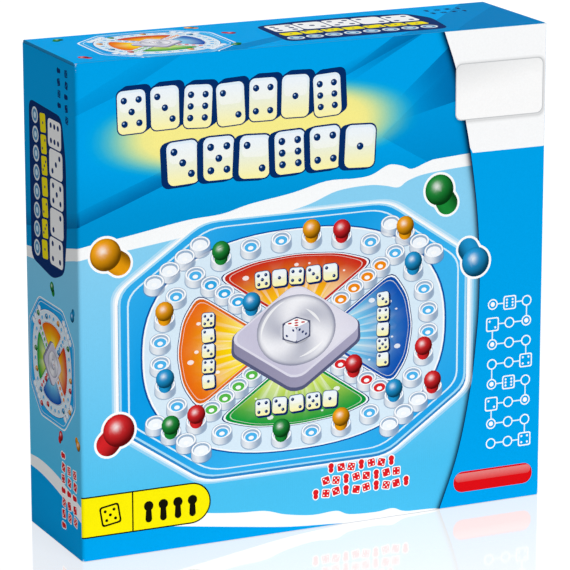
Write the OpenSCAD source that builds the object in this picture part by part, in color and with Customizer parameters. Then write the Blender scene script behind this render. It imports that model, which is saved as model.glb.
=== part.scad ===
// Pop-up dice board game, packed in its upright tuck-top retail carton.
//
// Row frame: X to the right, Y to the back, Z up. The origin is the middle of the carton's footprint, on the
// surface that it stands on. The printed front faces -Y. All sizes are in millimetres.
//
// The carton is worked out from what it holds: the game unit stands on its edge inside, dome towards the front,
// between two folded card fillers, and the carton wraps them with named clearances.

/* [Carton] */
// Thickness of the micro-flute carton board
board_t = 1.5; // [1:0.1:2.2]
// Room beside the game unit, on each side
side_room = 9.5; // [8:0.5:20]
// Room above the game unit, under the top flaps
head_room = 8.45; // [4:0.05:20]
// Room between the dome and the front panel
front_room = 24.5; // [20:0.5:40]
// Length of the tuck flap on the lid
tuck_len = 18; // [12:1:24]
// How far the tuck flap leans inwards when the lid is shut, in degrees
tuck_lean = 16; // [15:1:20]
// Length of each dust flap
dust_len = 50; // [36:1:60]
// Width of the glue flap inside the left side panel
glue_flap_w = 15; // [10:1:20]

/* [Card fillers] */
// Thickness of the filler card
filler_t = 1.2; // [0.8:0.1:1.8]
// How far each filler reaches in over the game unit's rim
filler_grip = 8; // [5:1:10]

/* [Rules leaflet] */
// Width of the folded leaflet
leaflet_w = 148; // [100:1:150]
// Height of the folded leaflet
leaflet_h = 210; // [150:1:215]
// Thickness of the folded leaflet
leaflet_t = 0.8; // [0.4:0.1:1]

/* [Game unit] */
// Width of the octagonal housing across its flats
unit_w = 248; // [244:1:300]
// How far each corner of the housing is cut back along both sides
unit_cut = 62; // [58:1:66]
// Height of the housing from its lower edge to the top of its rim
housing_h = 24; // [22:1:30]
// Wall thickness of the housing and its cover
wall_t = 2; // [1.6:0.1:2.4]
// Height of the rim above the deck
rim_h = 4; // [3:0.5:6]
// Thickness of the printed board
card_t = 0.6; // [0.3:0.1:1]
// Thickness of the clear cover over the printed board
cover_t = 1.2; // [0.8:0.1:2]
// Height of the feet
foot_h = 2; // [1.8:0.1:4]
// Radius of the feet
foot_r = 7; // [5:0.5:7]

/* [Peg cups] */
// Outside diameter of a peg cup
cup_od = 13; // [11.6:0.1:13.5]
// Inside diameter of a peg cup
cup_id = 9.6; // [9.4:0.1:10]
// Height of a peg cup
cup_h = 5.5; // [4:0.5:8]
// Spacing of the cups in the home rows and starting rows
cup_pitch = 14; // [13.6:0.1:14.4]

/* [Pegs] */
// Diameter of a peg's body
peg_d = 7.6; // [6.2:0.1:9]
// Height of a peg's body up to the middle of its ball
peg_h = 13.5; // [11:0.5:16]
// Diameter of a peg's ball
ball_d = 11; // [9:0.5:12.5]

/* [Popper] */
// Outside radius of the dome
dome_r = 24; // [22:0.5:26]
// Wall thickness of the dome
dome_wall = 1.5; // [1:0.1:2]
// Width of the flange that keeps the dome under its bezel
flange_w = 3; // [2:0.5:3]
// Thickness of that flange
flange_t = 1.6; // [1.2:0.1:1.8]
// How far the dome can be pressed
press_travel = 3; // [1:0.5:3]
// Length of the dome's skirt below its flange
skirt_l = 4; // [3:0.5:4]
// Side of the square bezel
bezel_side = 66; // [62:1:68]
// Height of the bezel
bezel_h = 6; // [5:0.5:8]
// How far the bezel's corners are cut back
bezel_cut = 6; // [3:1:9]
// Thickness of the spring steel snap disc
disc_t = 0.5; // [0.3:0.1:0.8]
// Side of the die
die_side = 12; // [10:0.5:13]

/* [Hidden] */
$fn = 64;

// Clearances
crease_gap = 0.15;  // between carton panels that move against each other
layer_gap = 0.05;   // between flat layers that lie on each other
pack_gap = 0.3;     // round what is packed in the carton
lid_side_gap = 0.3; // at the free edges of the lid
run_gap = 0.5;      // round the dome in its bezel
edge_gap = 0.3;     // round the layers inside the housing's rim

// Heights in the game unit, from the plane of its feet
housing_z = foot_h;
rim_top = foot_h + housing_h;
deck_top = rim_top - rim_h;
deck_under = deck_top - wall_t;
card_z = deck_top + layer_gap;
cover_z = card_z + card_t + layer_gap;
cover_top = cover_z + cover_t;
seat_z = cover_top + layer_gap;      // where cups, pegs and bezel stand on the clear cover

// The popper, in the same heights
flange_r = dome_r + flange_w;
well_r = flange_r + 1;               // hole through the deck and its layers, and the inside of the popper cup
flange_top = seat_z - crease_gap;
dome_base = flange_top - flange_t;   // the dome's centre of curvature
dome_top = dome_base + dome_r;
skirt_low = dome_base - skirt_l;
disc_top = skirt_low - 0.2;
disc_low = disc_top - disc_t;
disc_r = dome_r + 1;
pot_wall = 2;
pot_low = deck_under - layer_gap - 12;
pot_floor = pot_low + pot_wall;
ring_r = 18;                         // the ridge in the popper cup that the snap disc bows over
ring_w = 3;
die_low = disc_top + 0.1;
die_corner_r = die_side * 0.71;      // the sphere that rounds the die's corners

// Screws, and the bosses that they go into
screw_r = 1.1;
pilot_r = 1.2;
hole_r = 1.6;
head_r = 2.5;
head_h = 1.5;
boss_r = 3.5;
lug_t = 2;
lug_ring_r = well_r + pot_wall + 5;
lug_top = deck_under - 8;
housing_screw_at = [[104, 24], [82, 92]];  // in one quarter, mirrored to the others, from the centre
foot_at = [88, 60];

// Carton sizes, worked out from the contents
carton_w = unit_w + 2 * side_room + 2 * board_t;
carton_d = 2 * board_t + pack_gap + dome_top + front_room;
floor_z = 2 * board_t + 2 * layer_gap;     // top of the inner bottom flap
unit_low = floor_z + pack_gap;
unit_mid = unit_low + unit_w / 2;
dust_top = unit_low + unit_w + head_room + board_t;
lid_z = dust_top + crease_gap;             // underside of the lid, and the height of its hinge
carton_h = lid_z + board_t;
wall_top = lid_z - 0.1;                    // top edge of the side and back panels
in_x = carton_w / 2 - board_t;             // inner faces of the side panels
in_y = carton_d / 2 - board_t;             // inner faces of the front and back panels
unit_y = in_y - pack_gap;                  // the plane of the game unit's feet
lid_front = -in_y + lid_side_gap;          // the crease between the lid and its tuck flap
lid_len = carton_d / 2 - lid_front;

// Peg cup layout on the board
track_n = 28;
half = unit_w / 2;
chamfer_r = (2 * half - unit_cut) / sqrt(2);        // distance of the cut corners from the centre
start_r = chamfer_r - wall_t - cup_od / 2 - 2.5;    // line of the starting cups
home_r = bezel_side / 2 + cup_od / 2 + 6.5;         // innermost cup of each home row
track_side_r = half - 23;                           // track radius towards the sides
track_power = 2.3;                                  // 2 is a circle, more is squarer
function track_r(a) =
    track_side_r / pow(pow(abs(cos(a)), track_power) + pow(abs(sin(a)), track_power), 1 / track_power);
function track_at(i) =
    let (a = (i + 0.5) * 360 / track_n, r = track_r(a)) [r * cos(a), r * sin(a)];
function home_at(quarter, i) =
    let (a = 45 + 90 * quarter, r = home_r + i * cup_pitch) [r * cos(a), r * sin(a)];
function start_at(quarter, i) =
    let (a = 45 + 90 * quarter, s = (i - 1.5) * (cup_pitch + 1))
    [start_r * cos(a) - s * sin(a), start_r * sin(a) + s * cos(a)];

PEG_COLOURS = ["yellow", "blue", "green", "red"];  // one for each quarter, from the top right, anticlockwise
PEG_NODES = [for (c = PEG_COLOURS) for (i = [1 : 4]) str("peg_", c, "_", i)];

// ---------------------------------------------------------------- carton

module box_between(low, high) {
    translate(low) cube(high - low);
}

module front_panel() {
    color("deepskyblue")
        box_between([-carton_w / 2, -carton_d / 2, 0], [carton_w / 2, -in_y, carton_h]);
}

module back_panel() {
    color("deepskyblue")
        box_between([-carton_w / 2, in_y, 0], [carton_w / 2, carton_d / 2, wall_top]);
}

module side_panel(side) {
    color("steelblue")
        translate([side * (carton_w - board_t) / 2, 0, wall_top / 2])
            cube([board_t, 2 * in_y, wall_top], center = true);
}

// The strip of the back panel that is glued inside the left side panel
module glue_flap() {
    end_cut = 12;
    color("tan")
        box_between([-in_x, in_y - glue_flap_w, end_cut], [-in_x + board_t, in_y, wall_top - end_cut]);
}

module bottom_outer_flap() {
    color("deepskyblue")
        box_between([-in_x + crease_gap, -in_y + crease_gap, 0], [in_x - crease_gap, in_y - crease_gap, board_t]);
}

module bottom_inner_flap() {
    short = 10;
    color("tan")
        box_between([-in_x + crease_gap, -in_y + crease_gap, board_t + layer_gap],
                    [in_x - crease_gap, in_y - short, floor_z - layer_gap]);
}

module bottom_dust_flap(side) {
    len = in_x - unit_w / 2 + unit_cut - 6;   // ends under the cut corner, clear of the unit's lower edge
    color("tan")
        translate([side * (in_x - crease_gap - len / 2), 0, floor_z + board_t / 2])
            cube([len, 2 * (in_y - 2), board_t], center = true);
}

// The lid turns about the back edge of its underside
module lid_flap() {
    color("deepskyblue")
        box_between([-carton_w / 2 + lid_side_gap, lid_front, lid_z],
                    [carton_w / 2 - lid_side_gap, carton_d / 2, carton_h]);
}

// A strip with its two far corners rounded: it runs from y = from to y = len
module rounded_tongue(width, from, len, r) {
    steps = 8;
    arc = [for (i = [0 : steps]) let (a = 90 * i / steps)
        [width / 2 - r + r * cos(a), len - r + r * sin(a)]];
    polygon(concat([[-width / 2, from], [width / 2, from]], arc,
                   [for (i = [steps : -1 : 0]) [-arc[i][0], arc[i][1]]]));
}

// Hangs from the lid's front crease and leans inwards, so that it swings clear of the front panel
module tuck_flap() {
    crease_start = board_t * tan(tuck_lean) + crease_gap;
    color("deepskyblue")
        translate([0, lid_front, lid_z]) rotate([tuck_lean - 180, 0, 0]) rotate([90, 0, 0])
            linear_extrude(board_t)
                rounded_tongue(2 * in_x - 6, crease_start, tuck_len, (tuck_len - crease_start) / 2 - 0.5);
}

// Lies under the lid and turns about its upper outer edge. Its back edge is cut at a slant, so that it can
// rise while the lid rises.
module dust_flap(side) {
    slant = 0.5;
    back = carton_d / 2;
    color("tan")
        translate([side * in_x, 0, dust_top]) scale_x(-side) translate([0, 0, -board_t])
            linear_extrude(board_t)
                polygon([
                    [0.3, back - 3.5], [dust_len, back - 3 - slant * dust_len],
                    [dust_len, -in_y + 14], [dust_len - 8, -in_y + 6], [0.3, -in_y + 5]]);
}

// Turns what is drawn to the right of x = 0 to the left for -1
module scale_x(side) {
    if (side > 0) children();
    else mirror([1, 0, 0]) children();
}

// ---------------------------------------------------------------- packed round the unit

// Plan outline of a filler, on the right: narrow beside the unit, wider in front of its rim
module filler_plan(out_x, inset) {
    step_y = unit_y - rim_top - pack_gap;
    x0 = unit_w / 2 + pack_gap + inset;
    x1 = x0 - filler_grip;
    y_back = unit_y - inset;
    y_front = -unit_y + inset;
    polygon([[out_x - inset, y_back], [x0, y_back], [x0, step_y - inset], [x1, step_y - inset],
             [x1, y_front], [out_x - inset, y_front]]);
}

module side_filler(side) {
    out_x = in_x - pack_gap - (side < 0 ? board_t : 0);   // the left one clears the glue flap
    low = floor_z + board_t + layer_gap + pack_gap;
    high = dust_top - board_t - pack_gap;
    tuck_clear = tuck_len + 5;
    step_y = unit_y - rim_top - pack_gap;
    color("burlywood")
        scale_x(side) difference() {
            translate([0, 0, low]) linear_extrude(high - low) filler_plan(out_x, 0);
            translate([0, 0, low - 1]) linear_extrude(high - low + 2) filler_plan(out_x, filler_t);
            box_between([0, -in_y - 1, high - tuck_clear], [in_x + 1, step_y - filler_t, high + 1]);
        }
}

module rules_leaflet() {
    color("white")
        box_between([-leaflet_w / 2, unit_y - leaflet_t, unit_low], [leaflet_w / 2, unit_y, unit_low + leaflet_h]);
}

// ---------------------------------------------------------------- game unit
// Drawn flat, feet at z = 0 and dome upwards, then stood on its edge facing the front.

module stand_up() {
    translate([0, unit_y, unit_mid]) rotate([90, 0, 0]) children();
}

// Octagon that lies inset inside the housing's outline
module unit_outline(inset) {
    h = half - inset;
    c = h - (unit_cut - inset * (2 - sqrt(2)));   // half length of a long side
    polygon([[c, h], [-c, h], [-h, c], [-h, -c], [-c, -h], [c, -h], [h, -c], [h, c]]);
}

module at_quarters(p) {
    for (sx = [-1, 1]) for (sy = [-1, 1]) translate([sx * p[0], sy * p[1], 0]) children();
}

module at_lugs() {
    for (i = [0 : 3]) rotate(90 * i) translate([lug_ring_r, 0, 0]) children();
}

module housing() {
    stand_up() color("dodgerblue") difference() {
        union() {
            translate([0, 0, housing_z]) linear_extrude(housing_h) difference() {
                unit_outline(0);
                unit_outline(wall_t);
            }
            translate([0, 0, deck_under]) linear_extrude(wall_t) unit_outline(wall_t - 0.5);
            for (p = housing_screw_at) at_quarters(p)
                translate([0, 0, housing_z + wall_t + layer_gap])
                    cylinder(r = boss_r, h = deck_under - housing_z - wall_t);
            at_lugs() translate([0, 0, lug_top + layer_gap]) cylinder(r = boss_r, h = deck_under - lug_top);
        }
        translate([0, 0, deck_under - 1]) cylinder(r = well_r, h = wall_t + 2);
        for (p = housing_screw_at) at_quarters(p)
            translate([0, 0, housing_z]) cylinder(r = pilot_r, h = deck_under - housing_z - 2);
        at_lugs() translate([0, 0, lug_top - 1]) cylinder(r = pilot_r, h = 8);
    }
}

module bottom_cover() {
    stand_up() color("royalblue") translate([0, 0, housing_z]) difference() {
        linear_extrude(wall_t) unit_outline(wall_t + edge_gap);
        for (p = housing_screw_at) at_quarters(p) translate([0, 0, -1]) cylinder(r = hole_r, h = wall_t + 2);
    }
}

module layer_sheet(z, thickness) {
    translate([0, 0, z]) linear_extrude(thickness) difference() {
        unit_outline(wall_t + edge_gap);
        circle(well_r);
    }
}

module printed_board() {
    stand_up() color("lightcyan") layer_sheet(card_z, card_t);
}

module clear_cover() {
    stand_up() color("aliceblue", 0.4) layer_sheet(cover_z, cover_t);
}

module peg_cup() {
    translate([0, 0, seat_z]) difference() {
        cylinder(d = cup_od, h = cup_h);
        translate([0, 0, -1]) cylinder(d = cup_id, h = cup_h + 2);
    }
}

module track_cups() {
    stand_up() color("aliceblue", 0.5)
        for (i = [0 : track_n - 1]) translate(track_at(i)) peg_cup();
}

module home_cups() {
    stand_up() color("aliceblue", 0.5)
        for (q = [0 : 3]) for (i = [0 : 3]) translate(home_at(q, i)) peg_cup();
}

module start_cups() {
    stand_up() color("aliceblue", 0.5)
        for (q = [0 : 3]) for (i = [0 : 3]) translate(start_at(q, i)) peg_cup();
}

module feet() {
    stand_up() color("gray") at_quarters(foot_at) cylinder(r = foot_r, h = foot_h - layer_gap);
}

module screw(length) {
    cylinder(r = head_r, h = head_h);
    cylinder(r = screw_r, h = head_h + length);
}

module housing_screws() {
    stand_up() color("silver") for (p = housing_screw_at) at_quarters(p)
        translate([0, 0, housing_z - layer_gap - head_h]) screw(12);
}

module popper_screws() {
    stand_up() color("silver") at_lugs()
        translate([0, 0, lug_top - lug_t - layer_gap - head_h]) screw(8);
}

module peg(quarter, i) {
    tone = ["gold", "dodgerblue", "green", "red"][quarter];
    stand_up() color(tone) translate(start_at(quarter, i)) translate([0, 0, seat_z]) {
        cylinder(d = peg_d, h = peg_h);
        translate([0, 0, peg_h]) sphere(d = ball_d);
    }
}

// ---------------------------------------------------------------- popper

module popper_bezel() {
    s = bezel_side / 2;
    c = s - bezel_cut;
    stand_up() color("lavender") translate([0, 0, seat_z]) difference() {
        linear_extrude(bezel_h) rotate(45)
            polygon([[c, s], [-c, s], [-s, c], [-s, -c], [-c, -s], [c, -s], [s, -c], [s, c]]);
        translate([0, 0, -1]) cylinder(r = dome_r + run_gap, h = bezel_h + 2);
    }
}

module dome() {
    in_r = dome_r - dome_wall;
    stand_up() color("lightcyan", 0.4) difference() {
        union() {
            translate([0, 0, dome_base]) intersection() {
                sphere(r = dome_r);
                cylinder(r = dome_r + 1, h = dome_r + 1);
            }
            translate([0, 0, skirt_low]) cylinder(r = dome_r, h = skirt_l);
            translate([0, 0, dome_base]) cylinder(r = flange_r, h = flange_t);
        }
        translate([0, 0, dome_base]) sphere(r = in_r);
        translate([0, 0, skirt_low - 1]) cylinder(r = in_r, h = skirt_l + 1);
    }
}

module snap_disc() {
    stand_up() color("silver") translate([0, 0, disc_low]) cylinder(r = disc_r, h = disc_t);
}

module popper_cup() {
    stand_up() color("whitesmoke") difference() {
        union() {
            difference() {
                translate([0, 0, pot_low]) cylinder(r = well_r + pot_wall, h = deck_under - layer_gap - pot_low);
                translate([0, 0, pot_floor]) cylinder(r = well_r, h = deck_under);
            }
            difference() {
                translate([0, 0, pot_floor - 0.5]) cylinder(r = ring_r, h = disc_low - layer_gap - pot_floor + 0.5);
                translate([0, 0, pot_floor - 1]) cylinder(r = ring_r - ring_w, h = disc_top);
            }
            for (i = [0 : 3]) rotate(90 * i) translate([0, 0, lug_top - lug_t]) linear_extrude(lug_t) {
                translate([well_r + 1, -boss_r]) square([lug_ring_r - well_r - 1, 2 * boss_r]);
                translate([lug_ring_r, 0]) circle(boss_r);
            }
        }
        at_lugs() translate([0, 0, lug_top - lug_t - 1]) cylinder(r = hole_r, h = lug_t + 2);
    }
}

module die() {
    stand_up() color("white") translate([0, 0, die_low + die_side / 2]) intersection() {
        cube(die_side, center = true);
        sphere(r = die_corner_r);
    }
}

// ---------------------------------------------------------------- nodes

front_panel();
back_panel();
side_panel(-1);  // left_side_panel
side_panel(1);  // right_side_panel
glue_flap();
bottom_outer_flap();
bottom_inner_flap();
bottom_dust_flap(-1);  // bottom_dust_flap_left
bottom_dust_flap(1);  // bottom_dust_flap_right
lid_flap();
tuck_flap();
dust_flap(-1);  // dust_flap_left
dust_flap(1);  // dust_flap_right
side_filler(-1);  // side_filler_left
side_filler(1);  // side_filler_right
rules_leaflet();
housing();
bottom_cover();
printed_board();
clear_cover();
track_cups();
home_cups();
start_cups();
popper_bezel();
dome();
snap_disc();
popper_cup();
die();
housing_screws();
popper_screws();
feet();
for (q = [0 : 3]) for (i = [0 : 3])
    peg(q, i);
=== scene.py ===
"""Looks of an upright tuck-top game carton and the pop-dice board game packed in it.

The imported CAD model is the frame. The carton's walls and flaps are rebuilt as wrapped micro-flute board with
rounded creases, fluted cut edges and a flat print that is cut into coloured faces. The game inside gets moulded
plastic, clear styrene, a printed board, lathe-turned pegs and a dotted die.
"""

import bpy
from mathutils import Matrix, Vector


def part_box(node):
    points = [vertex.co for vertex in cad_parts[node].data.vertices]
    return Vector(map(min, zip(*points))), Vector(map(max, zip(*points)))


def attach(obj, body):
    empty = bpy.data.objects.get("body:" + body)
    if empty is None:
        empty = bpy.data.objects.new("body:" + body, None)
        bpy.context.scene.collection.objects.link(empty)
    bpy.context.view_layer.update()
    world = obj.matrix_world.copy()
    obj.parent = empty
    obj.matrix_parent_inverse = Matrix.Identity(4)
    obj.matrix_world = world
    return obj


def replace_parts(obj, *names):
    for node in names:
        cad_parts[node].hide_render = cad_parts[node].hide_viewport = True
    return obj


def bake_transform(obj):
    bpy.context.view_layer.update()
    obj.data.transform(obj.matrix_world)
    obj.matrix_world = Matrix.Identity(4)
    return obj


bl_info = {
    "name": "Pop Dice Game Carton",
    "version": (1, 0, 0),
    "blender": (4, 5, 0),
    "location": "View3D > Sidebar > Game Carton",
    "description": "Builds a printed tuck-top carton and the pop-dice board game inside it",
    "category": "Object",
}

import math

import bmesh
import bpy
import numpy as np
from bpy.props import FloatProperty, FloatVectorProperty, IntProperty, PointerProperty
from mathutils import Matrix, Vector, geometry

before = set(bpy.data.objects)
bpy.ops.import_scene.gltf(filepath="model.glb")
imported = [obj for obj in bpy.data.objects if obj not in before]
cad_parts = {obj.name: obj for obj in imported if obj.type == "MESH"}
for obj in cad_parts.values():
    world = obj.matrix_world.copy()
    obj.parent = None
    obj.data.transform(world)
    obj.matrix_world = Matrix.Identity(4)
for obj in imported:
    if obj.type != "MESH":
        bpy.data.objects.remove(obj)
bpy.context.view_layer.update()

MM = 0.001
FLUTE = 1.2  # millimetres from one flute of the board to the next
SQUIRCLE = 2.4  # power of the rounded outlines: 2 is an ellipse, more is squarer
COLOURS = ("yellow", "blue", "green", "red")  # the quarters' colours, from the top right, anticlockwise


def linear(hex_colour):
    """sRGB hex colour, such as #00A0EA, as linear red, green and blue."""
    parts = [int(hex_colour[i : i + 2], 16) / 255 for i in (1, 3, 5)]
    return tuple(c / 12.92 if c <= 0.04045 else ((c + 0.055) / 1.055) ** 2.4 for c in parts)


# ---------------------------------------------------------------- settings


def tint(name, about, colour):
    """A colour setting."""
    return FloatVectorProperty(name=name, description=about, default=linear(colour), subtype="COLOR")


def measure(name, about, value, kind):
    """A number setting: a LENGTH or an ANGLE."""
    given = {"unit": kind} if kind == "LENGTH" else {"subtype": kind}
    return FloatProperty(name=name, description=about, default=value, **given)


class CartonSettings(bpy.types.PropertyGroup):
    crease_radius: measure("Crease radius", "Outside radius of the sleeve's bends", 0.0018, "LENGTH")
    art_spacing: measure("Print grid", "Spacing of the points that carry the print's gradients", 0.006, "LENGTH")
    azure: tint("Azure ink", "Ground colour of the print", "#00A3EB")
    navy: tint("Navy ink", "Shadows and outlines of the print", "#052C66")
    kraft: tint("Kraft liner", "Unprinted inside of the board", "#B79D78")


class GameSettings(bpy.types.PropertyGroup):
    tray: tint("Tray plastic", "Colour of the moulded tray", "#0A6FC4")
    yellow: tint("Yellow pegs", "Plastic of the yellow pegs", "#F0A010")
    blue: tint("Blue pegs", "Plastic of the blue pegs", "#128CCB")
    green: tint("Green pegs", "Plastic of the green pegs", "#1C8A38")
    red: tint("Red pegs", "Plastic of the red pegs", "#D8262A")
    turns: IntProperty(name="Lathe steps", description="Steps round each turned piece", default=32, min=12, max=96)


class StageSettings(bpy.types.PropertyGroup):
    azimuth: measure("Azimuth", "Camera's turn round the carton", math.radians(-24.96), "ANGLE")
    elevation: measure("Elevation", "Camera's height as an angle", math.radians(14.61), "ANGLE")
    distance: measure("Distance", "Camera to the middle of the carton", 1.862, "LENGTH")
    lens: FloatProperty(name="Lens", description="Focal length in millimetres on a 36 mm frame", default=219.8)


def settings(kind):
    return getattr(bpy.context.scene, "game_carton_" + kind)


# ---------------------------------------------------------------- materials


def plug(tree, node, inputs):
    """Gives a node's inputs their values, or the sockets that feed them."""
    for key, value in inputs:
        if isinstance(value, bpy.types.NodeSocket):
            tree.links.new(value, node.inputs[key])
        else:
            node.inputs[key].default_value = value


def add(tree, kind, inputs=(), **options):
    """A node of that kind with its options set. inputs are (socket, value or the socket that feeds it)."""
    made = tree.nodes.new(kind)
    for key, value in options.items():
        setattr(made, key, value)
    plug(tree, made, inputs)
    return made


class Finish:
    """A material in the making. Each method below adds a node and gives the socket that carries its result."""

    def __init__(self, name):
        self.material = bpy.data.materials.new(name)
        self.material.use_nodes = True
        self.tree = self.material.node_tree
        self.shader = self.tree.nodes["Principled BSDF"]
        # place on the object in millimetres, so that every pattern below has its real size
        self.place = self.scaled(add(self.tree, "ShaderNodeTexCoord").outputs["Object"], 1 / MM)

    def calc(self, kind, *values):
        return add(self.tree, "ShaderNodeMath", enumerate(values), operation=kind).outputs[0]

    def scaled(self, colour, share):
        inputs = [(0, colour), ("Scale", share)]
        return add(self.tree, "ShaderNodeVectorMath", inputs, operation="SCALE").outputs[0]

    def noise(self, scale, detail, stretch=None):
        """Noise over the place, or over the place stretched by a factor for each axis."""
        place = self.place
        if stretch:
            place = add(self.tree, "ShaderNodeMapping", [("Vector", place), ("Scale", stretch)]).outputs[0]
        inputs = [("Vector", place), ("Scale", scale), ("Detail", detail)]
        return add(self.tree, "ShaderNodeTexNoise", inputs).outputs[0]

    def spread(self, value, low, high, first, last):
        """first where the value is low or less, last where it is high or more, even in between."""
        return add(self.tree, "ShaderNodeMapRange", enumerate((value, low, high, first, last))).outputs[0]

    def over(self, share, low, high):
        return add(self.tree, "ShaderNodeMix", [(0, share), (6, low), (7, high)], data_type="RGBA").outputs[2]

    def carried(self, name):
        """Sockets of a mesh attribute."""
        return add(self.tree, "ShaderNodeAttribute", attribute_name=name, attribute_type="GEOMETRY").outputs

    def axes(self):
        return add(self.tree, "ShaderNodeSeparateXYZ", [(0, self.place)]).outputs

    def flutes(self):
        """Washboard of the flutes. X plus Y runs along an upright wall, whichever way the wall faces."""
        x, y, _ = self.axes()
        return self.calc("SINE", self.calc("MULTIPLY", self.calc("ADD", x, y), 2 * math.pi / FLUTE))

    def raised(self, height, depth_mm, strength):
        inputs = [("Height", height), ("Distance", depth_mm * MM), ("Strength", strength)]
        self.set({"Normal": add(self.tree, "ShaderNodeBump", inputs).outputs[0]})

    def set(self, inputs):
        plug(self.tree, self.shader, inputs.items())
        return self.material


def print_material():
    """Litho print on clay-coated board under a matt film: flat even ink, a faint washboard of the flutes beneath,
    and paper white where the creases rub through."""
    m = Finish("litho_print_matt_film")
    # mottle of the ink film, 0.8 mm across, at about one part in sixty
    mottle = m.noise(1.2, 3.0)
    even = m.scaled(m.carried("ink")["Color"], m.spread(mottle, 0.3, 0.7, 0.983, 1.017))
    # the crease rubs through in specks 0.3 mm across, where the piece's own wear attribute allows it
    torn = m.calc("MULTIPLY", m.noise(2.6, 4.0), m.carried("wear")["Fac"])
    rubbed = m.over(m.spread(torn, 0.44, 0.56, 0.0, 0.75), even, (*linear("#EEF1F2"), 1))
    # the flutes show through the liner as a washboard of a few hundredths of a millimetre
    m.raised(m.calc("MULTIPLY_ADD", m.noise(0.03, 2.0), 12.0, m.flutes()), 0.02, 0.35)
    # the film is matt and index-matched to the ink, so that the colours stay full at a glancing view
    return m.set({"Base Color": rubbed, "Roughness": m.spread(mottle, 0.3, 0.7, 0.46, 0.54), "IOR": 1.03})


def liner_material(name, colour, across=False):
    """Unbleached kraft liner of fluted board: brown paper with long fibres and specks, and a plain washboard."""
    m = Finish(name)
    # fibres 0.25 mm wide and a few millimetres long, lying with the flutes
    fibres = m.noise(0.5, 5.0, (0.25, 3.2, 3.2) if across else (3.2, 3.2, 0.25))
    clouded = m.calc("MULTIPLY_ADD", fibres, 0.65, m.noise(0.06, 3.0))
    paper = m.scaled(tuple(colour), m.spread(clouded, 0.5, 1.15, 0.80, 1.12))
    specks = add(m.tree, "ShaderNodeTexVoronoi", [("Vector", m.place), ("Scale", 0.55)]).outputs["Distance"]
    speckled = m.over(m.spread(specks, 0.07, 0.11, 0.35, 0.0), paper, (*linear("#6E5638"), 1))
    m.raised(m.calc("MULTIPLY_ADD", fibres, 1.5, m.flutes()), 0.03, 0.5)
    return m.set({"Base Color": speckled, "Roughness": 0.88, "Specular IOR Level": 0.2})


def edge_material(name, colour):
    """Die-cut edge of micro-flute board: liners, with painted shade darkening the flutes' hollows between them."""
    m = Finish(name)
    ragged = m.calc("MULTIPLY_ADD", m.noise(1.5, 4.0), 1.6, m.flutes())
    # painted shade: the flutes' hollows take the edge colour at 45 %, up to a 55 % share along the washboard
    hollow_shade = (*(c * 0.45 for c in colour), 1)
    cut = m.over(m.spread(ragged, 0.9, 1.5, 0.0, 0.55), (*colour, 1), hollow_shade)
    m.raised(ragged, 0.15, 0.6)
    return m.set({"Base Color": cut, "Roughness": 0.9, "Specular IOR Level": 0.15})


def moulded_material(name, colour, roughness, grain=0.0, clear=0.0):
    """Injection-moulded styrene or ABS: even through-colour, slight sink and flow marks, a fine tool texture where
    grain is set, and clear styrene where clear is set."""
    m = Finish(name)
    flow = m.noise(0.05, 2.0)
    # tool texture of 0.35 mm grit, or only the flow marks on a polished part
    grit = m.noise(2.9, 3.0)
    m.raised(m.calc("MULTIPLY_ADD", grit, grain, flow), 0.05, 0.4)
    return m.set({
        "Base Color": m.scaled(tuple(colour), m.spread(flow, 0.3, 0.7, 0.96, 1.04)),
        "Roughness": m.spread(grit, 0.3, 0.7, roughness * 0.88, roughness * 1.12),
        "IOR": 1.58 if clear else 1.53, "Transmission Weight": clear,
    })


def steel_material(name, colour, roughness, grind_mm):
    """Rolled or turned steel: fine parallel grind lines, a little wider than real so that they show."""
    m = Finish(name)
    lines = m.noise(1.0, 3.0, (1 / grind_mm, 0.05, 0.05))
    return m.set({
        "Base Color": m.scaled(colour, m.spread(lines, 0.3, 0.7, 0.9, 1.08)), "Metallic": 1.0,
        "Roughness": m.spread(lines, 0.3, 0.7, roughness * 0.8, roughness * 1.2),
    })


def grained_material(name, colour, scale, detail, tones, depth_mm, roughness):
    """Dull stuff whose grain shades it and stands out: dusty die-cut rubber, or the soft fibres of uncoated paper."""
    m = Finish(name)
    grain = m.noise(scale, detail)
    m.raised(grain, depth_mm, 0.5)
    return m.set({"Base Color": m.scaled(colour, m.spread(grain, 0.3, 0.7, *tones)), "Roughness": roughness})


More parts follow.
